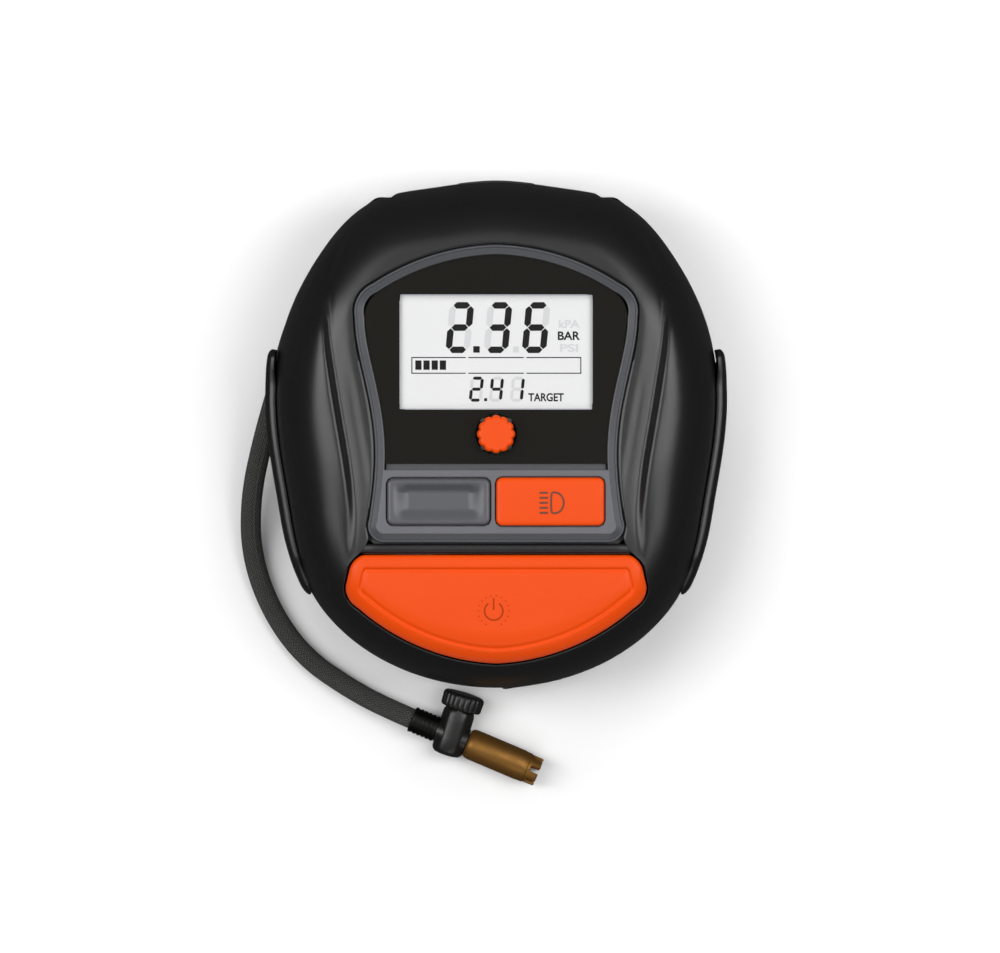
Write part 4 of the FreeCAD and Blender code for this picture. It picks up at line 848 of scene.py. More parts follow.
@dataclass
class FrontCover:
    """Domed black cover with a flowing crease and a lobe at each side of the display."""

    forms: Forms
    rows: int = 104
    wall: float = 2.4
    lip_scale: float = 0.906
    crease: tuple[tuple[float, float], ...] = (
        (42.2, 93.5),
        (49.2, 87.0),
        (58.5, 74.8),
        (65.0, 54.0),
        (64.8, 36.3),
        (61.2, 13.3),
        (56.6, -13.7),
        (54.6, -32.9),
        (56.0, -48.0),
    )

    def crease_x(self, y: Array) -> Array:
        """Where the crease runs, as a distance from the middle, smooth between its points."""
        points = np.array(self.crease)[::-1]
        fine = np.linspace(points[0, 1], points[-1, 1], 200)
        line = np.interp(fine, points[:, 1], points[:, 0])
        kernel = np.ones(21) / 21
        line = np.convolve(np.pad(line, 10, mode="edge"), kernel, mode="valid")
        return np.interp(y, fine, line)

    def relief(self, x: Array, y: Array) -> Array:
        """What the sculpting adds to the dome's height.

        A soft step along the crease drops the shoulder below the middle band near the top edge and lifts the
        side lobe above it further down, a narrow valley lies in the crease, and a fainter one runs inboard.
        """
        across = np.abs(x) - self.crease_x(y)
        upper = smooth_step(40.0, 78.0, y)
        middle = smooth_step(-52.0, -6.0, y) * (1.0 - smooth_step(38.0, 62.0, y))
        step = smooth_step(-1.8, 1.8, across)
        far_out = 1.0 - smooth_step(0.5, 17.0, across)
        lobe = middle * (2.5 * step * far_out - 0.9 * smooth_step(-9.0, -1.0, across) * (1.0 - step))
        shoulder = -2.4 * upper * smooth_step(-1.2, 1.4, across)
        valley = -0.6 * np.exp(-((across / 1.7) ** 2)) * (0.45 + 0.55 * middle) * smooth_step(-56, -30, y)
        inner = -0.2 * np.exp(-(((across + 6.5) / 1.6) ** 2)) * smooth_step(-34, -8, y)
        inner = inner * (1.0 - smooth_step(10, 30, y))
        return lobe + shoulder + valley + inner

    def opening(self) -> Array:
        """Closed contour round the bezel's and the power key's openings together."""
        bezel = self.forms.bezel_right(0.3)
        key = self.forms.power_key_right(0.6)
        upper = bezel[bezel[:, 1] > -36.5]
        lower = key[key[:, 1] < -46.6]
        bridge = np.array([[48.4, -40.6], [51.6, -45.2]])
        return resampled(mirrored(np.vstack([upper, bridge, lower])), self.forms.columns)

    def build(self, shop: Workshop) -> None:
        """Makes the cover, the strip between its two openings, and finishes both."""
        forms = self.forms
        inner = softened(self.opening(), 2)
        base = np.linspace(0.0, 2 * np.pi, len(inner), endpoint=False)
        angle = np.unwrap(np.arctan2(inner[:, 1], inner[:, 0]))
        angle = np.maximum.accumulate(angle)
        angle = softened(angle - base, 24) + base
        far = forms.reach(angle)
        beside = np.abs(far * np.cos(angle)) - 41.0
        hump = 0.007 * np.exp(-(((beside - 5.0) / 2.4) ** 2)) - 0.012 * np.exp(-((beside / 1.8) ** 2))
        far = far * (1.0 + hump * (np.sin(angle) > 0))
        outer = np.stack([far * np.cos(angle), far * np.sin(angle)], axis=1)

        share = 1.0 - (1.0 - np.linspace(0.0, 1.0, self.rows)) ** 2.2
        plan = inner[None] + (outer - inner)[None] * share[:, None, None]
        scale = forms.scale_at(plan[..., 0], plan[..., 1])
        fade = 1.0 - smooth_step(0.90, 0.985, scale)
        height = forms.dome(scale) + self.relief(plan[..., 0], plan[..., 1]) * fade
        from_edge = np.linalg.norm(plan - inner[None], axis=-1)
        height = height - 0.45 * np.clip(1.0 - from_edge / 0.6, 0.0, 1.0) ** 2
        skin = np.concatenate([plan, height[..., None]], axis=-1)

        wall_top = skin[0].copy()
        drop = [wall_top - np.array([0, 0, depth]) for depth in (5.0, 0.5)]
        lip = []
        for size, z in ((0.993, 35.0), (0.95, 35.0), (self.lip_scale, 35.0), (self.lip_scale, 37.0)):
            edge = np.stack([far * size * np.cos(angle), far * size * np.sin(angle)], axis=1)
            lip.append(np.column_stack([edge, np.full(len(edge), z)]))
        back = plan[::-6][1:-1] * 0.97
        depth = forms.dome(forms.scale_at(back[..., 0], back[..., 1]) * 1.04) - self.wall - 1.2
        inside = np.concatenate([back, np.maximum(depth, 37.2)[..., None]], axis=-1)
        ring = np.concatenate([np.stack(drop), skin, np.stack(lip), inside])
        cover = Shape("front_cover").grid(ring, close_rows=True).make()
        shop.finish(cover, "shell_black", replaced=["front_shell"])

        shop.finish(self.strip(), "shell_black")
        bar = rounded_rectangle(103.0, 2.8, 0.3, 80) + np.array([0.0, -44.45])
        web = [np.column_stack([bar, np.full(len(bar), z)]) for z in (66.5, 71.5)]
        shop.finish(Shape("strip_web").grid(capped(np.stack(web))).make(), "shell_black")

    def strip(self) -> bpy.types.Object:
        """The bar of the cover between the bezel and the power key, with soft edges."""
        low, high, reach = -45.45, -41.9, 53.5
        centre, rise, square, columns = 72.6, 2.35, 0.45, 24
        across = np.linspace(0, 2 * np.pi, columns, endpoint=False)
        half, middle = (high - low) / 2, (high + low) / 2
        y = middle + half * np.sign(np.cos(across)) * np.abs(np.cos(across)) ** square
        z = centre + rise * np.sign(np.sin(across)) * np.abs(np.sin(across)) ** square
        rows = []
        for x in np.linspace(-reach, reach, 40):
            sunk = 0.5 * smooth_step(47, 52, abs(x))
            rows.append(np.column_stack([np.full(columns, x), y, z - sunk]))
        rows = np.stack(rows)
        return Shape("cover_strip").grid(capped(rows)).make()


@dataclass
class WorkLamp:
    """Smoked lamp window in the cover's top edge, in a thin dark rim."""

    forms: Forms
    middle: float = 44.0

    def slab(self, name: str, width: float, tall: float, proud: float) -> bpy.types.Object:
        """A slab with round ends that follows the cover.

        Args:
            name: the piece's name.
            width: its width.
            tall: its height.
            proud: how far it stands out of the cover.

        Returns:
            The new piece.
        """
        contour = rounded_rectangle(width, tall, tall * 0.32, 120)
        back, edge = -2.0, 0.25
        rows = []
        for wide, high, out in (
            (0.0, 0.0, back),
            (1.0, 1.0, back),
            (1.0, 1.0, proud - edge),
            (1.0 - 2 * edge / width, 1.0 - 2 * edge / tall, proud),
            (0.5, 0.5, proud),
            (0.0, 0.0, proud),
        ):
            x, z = contour[:, 0] * wide, self.middle + contour[:, 1] * high
            rows.append(np.column_stack([x, self.wall(x, z) + out, z]))
        return Shape(name).grid(np.stack(rows)).make(smooth=40.0)

    def wall(self, x: Array, z: Array) -> Array:
        """y of the cover's outer face at its top edge."""
        rise = (z - self.forms.rim_height) / (self.forms.deck_height - self.forms.rim_height)
        share = (1.0 - rise**2.2) ** (1 / 2.3)
        scale = self.forms.deck_scale + (1 - self.forms.deck_scale) * share
        line = self.forms.outline()
        line = line[(line[:, 1] > 60)]
        line = line[np.argsort(line[:, 0])]
        return np.interp(x, line[:, 0], line[:, 1]) * scale

    def build(self, shop: Workshop) -> None:
        """Makes the rim and the window."""
        shop.finish(self.slab("lamp_rim", 31.4, 9.0, 0.1), "black_plastic")
        window = self.slab("lamp_window", 29.6, 7.4, 0.3)
        shop.finish(window, "clear_lens", replaced=["lamp_lens"], look="lamp_smoke")


@dataclass
class HoseGuards:
    """Rims outside the cover that hold the stored hose, each with a rounded finger at its top."""

    forms: Forms
    top: float = 32.4
    bottom: float = -61.2
    low: float = 33.4
    high: float = 49.9

    def section(self, share: Array) -> list[tuple[Array, Array]]:
        """Corners of the rim's section as distances out of the outline and heights.

        Args:
            share: how far along the rim, from 0 at its lower end to 1 at its top.

        Returns:
            Pairs of distance and height, each an array along the rim.
        """
        finger = smooth_step(0.84, 0.965, share)
        tip = np.sqrt(np.clip(1.0 - ((share - 0.965) / 0.035).clip(0, 1) ** 2, 0.0, 1.0))
        foot = np.sqrt(np.clip(1.0 - ((0.05 - share) / 0.05).clip(0, 1) ** 2, 0.0, 1.0))
        slim = 0.7 * (1.0 - smooth_step(0.0, 0.3, share))
        middle = 1.35 + 0.75 * finger - slim
        inner = middle - (2.05 - 0.7 * finger - 0.7 * slim) * tip * foot
        outer = middle + (2.1 - 0.35 * finger - 0.5 * slim) * tip * foot
        high = self.high - 1.6 * finger - 5.0 * (1.0 - tip) - 8.0 * (1.0 - smooth_step(-0.1, 0.16, share))
        wide = outer - inner
        base = np.minimum(0.35 + 0.0 * share, middle)
        return [
            (base, self.low + 0.0 * share),
            (np.maximum(inner, 0.35), high - 6.5),
            (inner + 0.12 * wide, high - 1.6),
            (inner, high - 0.55),
            (inner + 0.03 * wide, high - 0.15),
            (inner + 0.12 * wide, high),
            (inner + 0.45 * wide, high - 0.30),
            (inner + 0.68 * wide, high - 0.85),
            (inner + 0.82 * wide, high - 1.7),
            (inner + 0.93 * wide, high - 3.2),
            (outer, high - 6.0),
            (outer, self.low + 0.8 + 0.0 * share),
            (outer - 0.12 * wide, self.low + 0.0 * share),
        ]

    def one(self, side: int) -> bpy.types.Object:
        """One guard: a rim that follows the outline, and its web under the cover.

        Args:
            side: 1 for the right-hand guard and -1 for the left-hand one.

        Returns:
            The new piece.
        """
        outline = self.forms.outline()
        right = outline[outline[:, 0] > 0]
        right = right[np.argsort(right[:, 1])]
        share = 0.5 - 0.5 * np.cos(np.linspace(0.0, np.pi, 170))
        y = self.bottom + (self.top - self.bottom) * share
        line = np.stack([np.interp(y, right[:, 1], right[:, 0]), y], axis=1)
        along = np.gradient(line, axis=0)
        out = np.stack([along[:, 1], -along[:, 0]], axis=1)
        out = out / np.linalg.norm(out, axis=1, keepdims=True)
        rows = []
        for distance, height in self.section(share):
            place = line + out * distance[:, None]
            rows.append(np.column_stack([place[:, 0] * side, place[:, 1], height]))
        blade = np.stack(rows, axis=1)
        shape = Shape("left_guard" if side < 0 else "right_guard")
        shape.grid(capped(blade))
        web = []
        corners = ((-7.4, 33.4), (-7.4, 34.7), (0.6, 34.7), (1.3, 34.7), (1.3, 33.4), (0.6, 33.4))
        for distance, height in corners:
            place = line + out * distance
            web.append(np.column_stack([place[:, 0] * side, place[:, 1], np.full(len(y), height)]))
        shape.grid(capped(np.stack(web, axis=1)[20:-24]))
        return shape.make()

    def build(self, shop: Workshop) -> None:
        """Makes both guards."""
        shop.finish(self.one(-1), "shell_black", replaced=["left_hose_guard"])
        shop.finish(self.one(1), "shell_black", replaced=["right_hose_guard"])


# ------------------------------------------------------------------ display


@dataclass
class Bezel:
    """Grey frame: a sloping border with a thin lip outside, and a plateau round the two small keys."""

    forms: Forms
    plateau: float = 76.3

    def build(self, shop: Workshop) -> None:
        """Makes the border and the plateau."""
        contour = self.forms.bezel(0.0, 460)
        profile = (
            (-1.5, 68.4),
            (-1.5, 69.5),
            (0.0, 69.6),
            (0.0, 74.9),
            (0.08, 75.35),
            (0.3, 75.6),
            (0.7, 75.62),
            (0.95, 75.35),
            (1.15, 75.15),
            (2.9, 76.1),
            (3.25, 76.3),
            (3.55, 76.2),
            (3.75, 75.8),
            (3.8, 75.0),
            (3.8, 73.2),
            (2.0, 70.6),
        )
        border = Shape("bezel_border").grid(levels(contour, profile, 3), close_rows=True).make()
        shop.finish(border, "bezel_grey", replaced=["display_bezel"])
        shop.finish(self.key_field(), "bezel_grey", look="field_grey")
        shelf = self.plate("key_shelf", [self.below(4.1, -9.0)], 73.5)
        shop.finish(shelf, "bezel_grey")

    def key_field(self) -> bpy.types.Object:
        """Plateau with two rounded openings, as a flat curve with a small bevel that is made a mesh."""
        loops = [self.below(3.1, -13.3)]
        for x, width, length in ((20.7, 42.2, 19.2), (-22.0, 40.2, 18.6)):
            loops.append(rounded_rectangle(width, length, 2.6, 60) + np.array([x, -25.8]))
        return self.plate("key_field", loops, self.plateau)

    def below(self, distance: float, top: float) -> Array:
        """The part of the bezel's contour, moved inwards, that lies below a height."""
        edge = inset(self.forms.bezel(0.0, 460), distance, 3)
        edge = edge[edge[:, 1] < top]
        return edge[np.argsort(np.unwrap(np.arctan2(edge[:, 1] - top, edge[:, 0])))]

    def plate(self, name: str, loops: Sequence[Array], top: float) -> bpy.types.Object:
        """A flat plate with soft edges.

        Args:
            name: the piece's name.
            loops: its outer contour, then its openings.
            top: height of its upper face.

        Returns:
            The new piece.
        """
        bevel, thick = 0.45, 1.4
        curve = bpy.data.curves.new(name, "CURVE")
        curve.dimensions = "2D"
        curve.fill_mode = "BOTH"
        curve.extrude = (thick / 2 - bevel) * METRES
        curve.bevel_depth = bevel * METRES
        curve.bevel_resolution = 3
        curve.offset = -bevel * METRES
        for loop in loops:
            spline = curve.splines.new("POLY")
            spline.points.add(len(loop) - 1)
            flat = np.column_stack([loop * METRES, np.zeros(len(loop)), np.ones(len(loop))])
            spline.points.foreach_set("co", flat.ravel())
            spline.use_cyclic_u = True
        mesh = mesh_of(curve)
        mesh.transform(Matrix.Translation((0.0, 0.0, (top - thick / 2) * METRES)))
        mesh.name = name
        return placed(name, mesh)


class Digit(Enum):
    """Segments of a seven-segment digit that are lit: a is the top bar, then clockwise, and g the middle."""

    ONE = "bc"
    TWO = "abged"
    THREE = "abgcd"
    FOUR = "fgbc"
    SIX = "afgedc"


@dataclass
class Readout:
    """What the display shows: two rows of slanting digits, a bar with four blocks, and unit names."""

    height: float = 73.54
    slant: float = 0.095
    lit: list[Array] = field(default_factory=list)
    ghost: list[Array] = field(default_factory=list)

    def digit(self, value: Digit, x: float, y: float, width: float, tall: float, stroke: float) -> None:
        """Adds a digit's bars, lit ones and unlit ones.

        Args:
            value: which segments are lit.
            x: left edge at its foot.
            y: its foot.
            width: its width.
            tall: its height.
            stroke: the bars' thickness.
        """
        half, middle, gap = tall / 2, stroke / 2, 0.10 * stroke
        low, high, centre = middle, tall - middle, half
        bars = {
            "a": self.bar((middle, high), (width - middle, high), stroke, gap),
            "g": self.bar((middle, centre), (width - middle, centre), stroke, gap),
            "d": self.bar((middle, low), (width - middle, low), stroke, gap),
            "f": self.bar((middle, centre), (middle, high), stroke, gap),
            "e": self.bar((middle, low), (middle, centre), stroke, gap),
            "b": self.bar((width - middle, centre), (width - middle, high), stroke, gap),
            "c": self.bar((width - middle, low), (width - middle, centre), stroke, gap),
        }
        for name, halves in bars.items():
            placed = halves.copy()
            placed[..., 0] += placed[..., 1] * self.slant
            (self.lit if name in value.value else self.ghost).extend(placed + np.array([x, y]))

    @staticmethod
    def bar(start: Sequence[float], end: Sequence[float], stroke: float, gap: float) -> Array:
        """A bar with pointed ends between two points, as its two long halves, shape (2, 4, 2)."""
        a, b = np.array(start), np.array(end)
        way = (b - a) / np.linalg.norm(b - a)
        side = np.array([-way[1], way[0]]) * stroke / 2
        a, b = a + way * gap, b - way * gap
        shoulder = way * stroke * 0.46
        upper = [a, b, b - shoulder + side, a + shoulder + side]
        lower = [b, a, a + shoulder - side, b - shoulder - side]
        return np.array([upper, lower])

    def dot(self, x: float, y: float, size: float, lit: bool = True) -> None:
        """Adds a small square dot centred on x, y."""
        half = size / 2
        square = np.array([(-half, -half), (half, -half), (half, half), (-half, half)]) + np.array([x, y])
        (self.lit if lit else self.ghost).append(square)

    def words(
        self, text: str, x: float, y: float, size: float, shop: Workshop, look: str, width: float
    ) -> None:
        """Sets a word in plain type as flat mesh.

        Args:
            text: the word.
            x: its left edge.
            y: its foot.
            size: height of its capitals.
            shop: what finishes it.
            look: the ink.
            width: how wide the whole word is.
        """
        curve = bpy.data.curves.new("word", "FONT")
        curve.body = text
        curve.size = 1.0
        curve.offset = 0.026
        mesh = mesh_of(curve)
        points = np.empty(len(mesh.vertices) * 3)
        mesh.vertices.foreach_get("co", points)
        points = points.reshape(-1, 3)
        low, high = points.min(axis=0), points.max(axis=0)
        points[:, 0] = x + (points[:, 0] - low[0]) / (high[0] - low[0]) * width
        points[:, 1] = y + (points[:, 1] - low[1]) / (high[1] - low[1]) * size
        points[:, 2] = self.height
        mesh.vertices.foreach_set("co", (points * METRES).ravel())
        shop.finish(placed(f"word_{text.lower()}", mesh), "lcd_glass", look=look)

    def build(self, shop: Workshop) -> None:
        """Makes the glass, the digits, the bar, the blocks and the words."""
        sheet = rounded_rectangle(75.6, 45.8, 0.6, 120) + np.array([0.0, 31.4])
        edge = levels(sheet, ((0.0, 71.6), (0.0, 73.35), (0.12, 73.47), (0.3, 73.5)), 1)
        ends = [collapsed(edge[k], 14.0, 6, (0.0, 31.4)) for k in (0, -1)]
        glass = Shape("display_sheet").grid(np.concatenate([ends[0][::-1], edge, ends[1]])).make()
        shop.finish(glass, "lcd_glass", replaced=["display_glass"])
        for value, x in ((Digit.TWO, -19.5), (Digit.THREE, -4.9), (Digit.SIX, 9.7)):
            self.digit(value, x, 31.0, 9.4, 19.5, 2.5)
        for value, x in ((Digit.TWO, -10.5), (Digit.FOUR, -2.8), (Digit.ONE, 5.2)):
            self.digit(value, x, 12.4, 5.0, 9.6, 1.2)
        self.dot(-7.5, 32.4, 2.5)
        self.dot(7.6, 32.4, 2.3, lit=False)
        self.dot(-4.0, 13.2, 1.15)
        for index in range(4):
            x = -30.9 + 3.12 * index
            self.lit.append(np.array([(x, 24.6), (x + 2.4, 24.6), (x + 2.4, 28.2), (x, 28.2)]))
        for low, high in ((-32.4, -11.6), (-10.6, 10.6), (11.6, 32.6)):
            for y in (23.1, 29.1):
                self.lit.append(np.array([(low, y), (high, y), (high, y + 0.4), (low, y + 0.4)]))
        for x in (-32.4, 32.2):
            self.lit.append(np.array([(x, 23.1), (x + 0.4, 23.1), (x + 0.4, 29.5), (x, 29.5)]))
        lit = Shape("display_lit").flat(self.lit, self.height).make(outwards=False)
        shop.finish(lit, "lcd_glass", look="ink_dark")
        ghost = Shape("display_unlit").flat(self.ghost, self.height - 0.01).make(outwards=False)
        shop.finish(ghost, "lcd_glass", look="ink_ghost")
        self.words("BAR", 23.6, 36.0, 3.3, shop, "ink_dark", 8.5)
        self.words("TARGET", 12.3, 12.5, 3.2, shop, "ink_dark", 13.6)
        self.words("kPA", 24.0, 40.6, 3.1, shop, "ink_ghost", 8.0)
        self.words("PSI", 24.4, 31.4, 3.1, shop, "ink_ghost", 7.0)


@dataclass
class Mask:
    """The dark display mask keeps its CAD shape; a thin pale edge is laid round its window."""

    height: float = 75.13

    def build(self, shop: Workshop) -> None:
        """Makes the printed edge round the window."""
        loop = rounded_rectangle(73.5, 43.7, 0.5, 80) + np.array([0.0, 31.4])
        edge = Shape("window_edge").flat(ribbon(loop, 0.35, closed=True), self.height).make(outwards=False)
        shop.finish(edge, "mask_gloss", look="ink_edge")


# ------------------------------------------------------------------ knob and keys


@dataclass
class Knob:
    """Orange setting knob with twelve rounded scallops and a slightly domed top."""

    radius: float = 7.55
    low: float = 74.3
    high: float = 81.2
    scallops: int = 12

    def build(self, shop: Workshop) -> None:
        """Makes the knob as a profile turned about its axis, with a wave in its radius."""
        profile = (
            (0.0, 0.0),
            (0.0, 0.90),
            (0.3, 0.97),
            (4.9, 0.975),
            (5.7, 0.955),
            (6.3, 0.90),
            (6.62, 0.82),
            (6.66, 0.74),
            (6.60, 0.66),
            (6.72, 0.45),
            (6.80, 0.20),
            (6.82, 0.0),
        )
        turn = np.linspace(0, 2 * np.pi, 192, endpoint=False)
        bump = np.abs(np.cos(turn * self.scallops / 2)) ** 0.8
        rows = []
        for rise, share in profile:
            deep = 0.75 * smooth_step(0.62, 0.95, np.array(share))
            radius = self.radius * share - deep * (1.0 - bump)
            rows.append(
                np.column_stack([radius * np.cos(turn), radius * np.sin(turn), np.full(192, self.low + rise)])
            )
        knob = Shape("knob_cap").grid(np.stack(rows)).make()
        shop.finish(knob, "orange", "setting_knob", ["target_knob"])


@dataclass
class SmallKey:
    """A push key with round corners and edges; a scooped one has a hollow for the finger."""

    name: str
    node: str
    body: str
    slot: str
    middle: tuple[float, float]
    width: float
    length: float
    low: float = 70.2
    high: float = 77.4
    scoop: float = 0.0

    def build(self, shop: Workshop) -> None:
        """Makes the key, from its foot over a rounded edge to its middle."""
        contour = rounded_rectangle(self.width, self.length, 2.4, 200)
        profile = [(0.0, self.low), (0.0, self.high - 1.3)]
        for step in range(1, 7):
            turn = math.radians(15 * step)
            profile.append((1.2 * (1 - math.cos(turn)), self.high - 1.3 + 1.2 * math.sin(turn)))
        edge = levels(contour, profile, 1)
        top = collapsed(edge[-1], self.width / 2 - self.length / 2, 36, (0.0, 0.0))
        x, y = top[..., 0], top[..., 1]
        crown = 0.25 * (1 - (2 * y / self.length) ** 2)
        if self.scoop:
            sides = 1.0 - smooth_step(0.56, 0.90, np.abs(2 * x / self.width))
            rear = 1.0 - smooth_step(0.34, 0.84, 2 * y / self.length)
            front = smooth_step(-0.90, -0.30, 2 * y / self.length)
            slope = np.clip(front * (0.6 + y / self.length), 0, 1)
            crown = -self.scoop * sides * rear * (0.35 * front + 0.65 * slope)
        top[..., 2] = top[..., 2] + crown
        foot = collapsed(edge[0], self.width / 2 - self.length / 2, 3, (0.0, 0.0))[::-1]
        grid = np.concatenate([foot, edge, top])
        grid[..., 0] += self.middle[0]
        grid[..., 1] += self.middle[1]
        key = Shape(self.name).grid(grid).make(smooth=50.0)
        shop.finish(key, self.slot, self.body, [self.node])


@dataclass
class LampIcon:
    """Lamp symbol on the orange key: five short rays and a lamp's outline, sunk in darker colour."""

    height: float = 77.64

    def build(self, shop: Workshop) -> None:
        """Makes the symbol."""
        pieces = []
        for index in range(5):
            y = -30.1 + 1.92 * index
            pieces += ribbon(np.array([(16.6, y), (18.2, y), (19.9, y)]), 0.8)
        turn = np.radians(np.linspace(-90, 90, 22))
        bow = np.stack([22.3 + 3.6 * np.cos(turn), -26.25 + 4.0 * np.sin(turn)], axis=1)
        back = np.stack([21.4 - 0.35 * np.cos(turn), -26.25 - 4.0 * np.sin(turn)], axis=1)
        loop = resampled(np.vstack([bow, back[1:-1]]), 60)
        pieces += ribbon(softened(loop, 2), 0.78, closed=True)
        icon = Shape("lamp_icon").flat(pieces, self.height).make(outwards=False)
        shop.finish(icon, "orange", "lamp_key", look="icon_brown")


@dataclass
class PowerKey:
    """Wide orange key: a rounded edge, a border, a stepped line and a gently crowned middle."""

    forms: Forms
    lift: float = 1.3

    def surface(self, x: Array, y: Array) -> Array:
        """Height of the key's skin over the dome."""
        return self.forms.dome(self.forms.scale_at(x, y)) + self.lift

    def build(self, shop: Workshop) -> None:
        """Makes the key and its symbol."""
        contour = self.forms.power_key(-0.1, 480)
        profile = (
            (0.0, -11.0),
            (0.0, -1.75),
            (0.12, -1.15),
            (0.42, -0.62),
            (0.9, -0.25),
            (1.5, -0.05),
            (2.6, 0.08),
            (4.2, 0.16),
            (4.65, 0.10),
            (4.95, -0.08),
            (5.25, -0.48),
            (5.55, -0.70),
            (5.9, -0.70),
            (6.3, -0.50),
            (6.9, -0.28),
        )
        rows = []
        for distance, rise in profile:
            moved = inset(contour, distance, 10)
            z = self.surface(moved[:, 0], moved[:, 1]) + rise
            if rise < -5:
                z = np.full(len(moved), 60.5) + 0.0 * z
            rows.append(np.column_stack([moved, z]))
        edge = np.stack(rows)
        top = collapsed(edge[-1], 34.0, 40, (0.0, -62.0))
        inner = self.surface(top[..., 0], top[..., 1]) - 0.28
        top[..., 2] = inner + 0.37 * (np.arange(1, 41) / 40)[:, None]
        foot = collapsed(edge[0], 34.0, 3, (0.0, -62.0))[::-1]
        key = Shape("power_cap").grid(np.concatenate([foot, edge, top])).make(smooth=50.0)
        shop.finish(key, "orange", "on_off_key", ["power_key"])
        self.icon(shop)

    def icon(self, shop: Workshop) -> None:
        """Open ring with an upright bar, and faint ticks round it, laid over the key's skin."""
        x, y = -0.9, -67.6
        turn = np.radians(np.linspace(125, 415, 48))
        ring = np.stack([x + 3.5 * np.cos(turn), y + 3.5 * np.sin(turn)], axis=1)
        pieces = ribbon(ring, 0.62)
        pieces += ribbon(np.array([(x, y + 0.4), (x, y + 2.6), (x, y + 5.0)]), 0.62)
        for angle in np.radians(np.arange(-60, 250, 20)):
            way = np.array([math.cos(angle), math.sin(angle)])
            pieces += ribbon(np.array([(x, y) + way * r for r in (5.6, 5.9, 6.2)]), 0.35)
        shape = Shape("power_icon").flat(pieces, 0.0)
        points = np.vstack(shape.points)
        height = self.surface(points[:, 0], points[:, 1]) + 0.12
        shape.points = [np.column_stack([points[:, :2], height])]
        shop.finish(shape.make(outwards=False), "orange", "on_off_key", look="icon_shade")


# ------------------------------------------------------------------ hose and fitting


@dataclass
class Hose:
    """Braided air hose, wound once round the housing and led out under the left guard."""

    radius: float = 3.925
    route: tuple[tuple[float, float, float], ...] = (
        (12.0, -92.6, 28.7),
        (31.0, -89.8, 28.3),
        (52.5, -77.0, 28.0),
        (69.4, -57.6, 28.0),
        (76.9, -33.0, 28.0),
        (81.4, -5.0, 28.0),
        (82.0, 24.0, 28.0),
        (73.5, 51.0, 28.0),
        (58.3, 77.4, 28.0),
        (33.0, 90.4, 28.0),
        (6.0, 93.2, 28.0),
        (-22.0, 91.8, 28.0),
        (-48.0, 84.5, 28.0),
        (-66.0, 65.0, 28.0),
        (-77.8, 42.5, 28.0),
        (-83.6, 20.0, 28.1),
        (-90.0, -2.0, 24.0),
        (-94.8, -24.0, 15.5),
        (-94.8, -46.0, 7.6),
        (-87.5, -67.5, 4.1),
        (-74.5, -86.0, 3.95),
        (-55.5, -99.0, 4.4),
    )

    def centreline(self, fitting: "Fitting") -> Array:
        """Points on the route's NURBS spline, in millimetres."""
        ends = [fitting.place(np.array([[x, 0.0, 0.0]]))[0] for x in (-9.0, 7.9)]
        points = np.vstack([np.array(self.route), ends]) * METRES
        curve = bpy.data.curves.new("hose_route", "CURVE")
        curve.dimensions = "3D"
        curve.resolution_u = 24
        spline = curve.splines.new("NURBS")
        spline.points.add(len(points) - 1)
        spline.points.foreach_set("co", np.column_stack([points, np.ones(len(points))]).ravel())
        spline.order_u = 3
        spline.use_endpoint_u = True
        mesh = mesh_of(curve)
        line = np.empty(len(mesh.vertices) * 3)
        mesh.vertices.foreach_get("co", line)
        bpy.data.meshes.remove(mesh)
        bpy.data.curves.remove(curve)
        return line.reshape(-1, 3) / METRES

    def build(self, shop: Workshop, fitting: "Fitting", with_pieces: Sequence[bpy.types.Object]) -> None:
        """Makes the hose as a round section carried along the route.

        Args:
            shop: what finishes it.
            fitting: the fitting at its far end.
            with_pieces: the pieces on that end; not used.
        """
        line = self.centreline(fitting)
        length = np.linalg.norm(np.diff(line, axis=0), axis=1).sum()
        count = int(length / 1.1)
        line = resampled(line, count, closed=False)
        along = np.gradient(line, axis=0)
        along = along / np.linalg.norm(along, axis=1, keepdims=True)
        up = np.array([0.0, 0.0, 1.0])
        side = np.cross(along, up)
        side = side / np.linalg.norm(side, axis=1, keepdims=True)
        over = np.cross(side, along)
        turn = np.linspace(0, 2 * np.pi, 32, endpoint=False)
        circle = side[:, None] * np.cos(turn)[None, :, None] + over[:, None] * np.sin(turn)[None, :, None]
        tube = line[:, None] + self.radius * circle
        shape = Shape("braided_hose").grid(tube)
        u, v = shape.uvs[0][:, 0], shape.uvs[0][:, 1]
        shape.uvs[0] = np.stack([u, v * length * METRES], axis=1)
        for spot in (0, -1):
            shape.grid(np.stack([tube[spot], np.broadcast_to(line[spot], tube[spot].shape)]))
        hose = shape.make()
        shop.finish(hose, "hose_braid", replaced=["air_hose"])


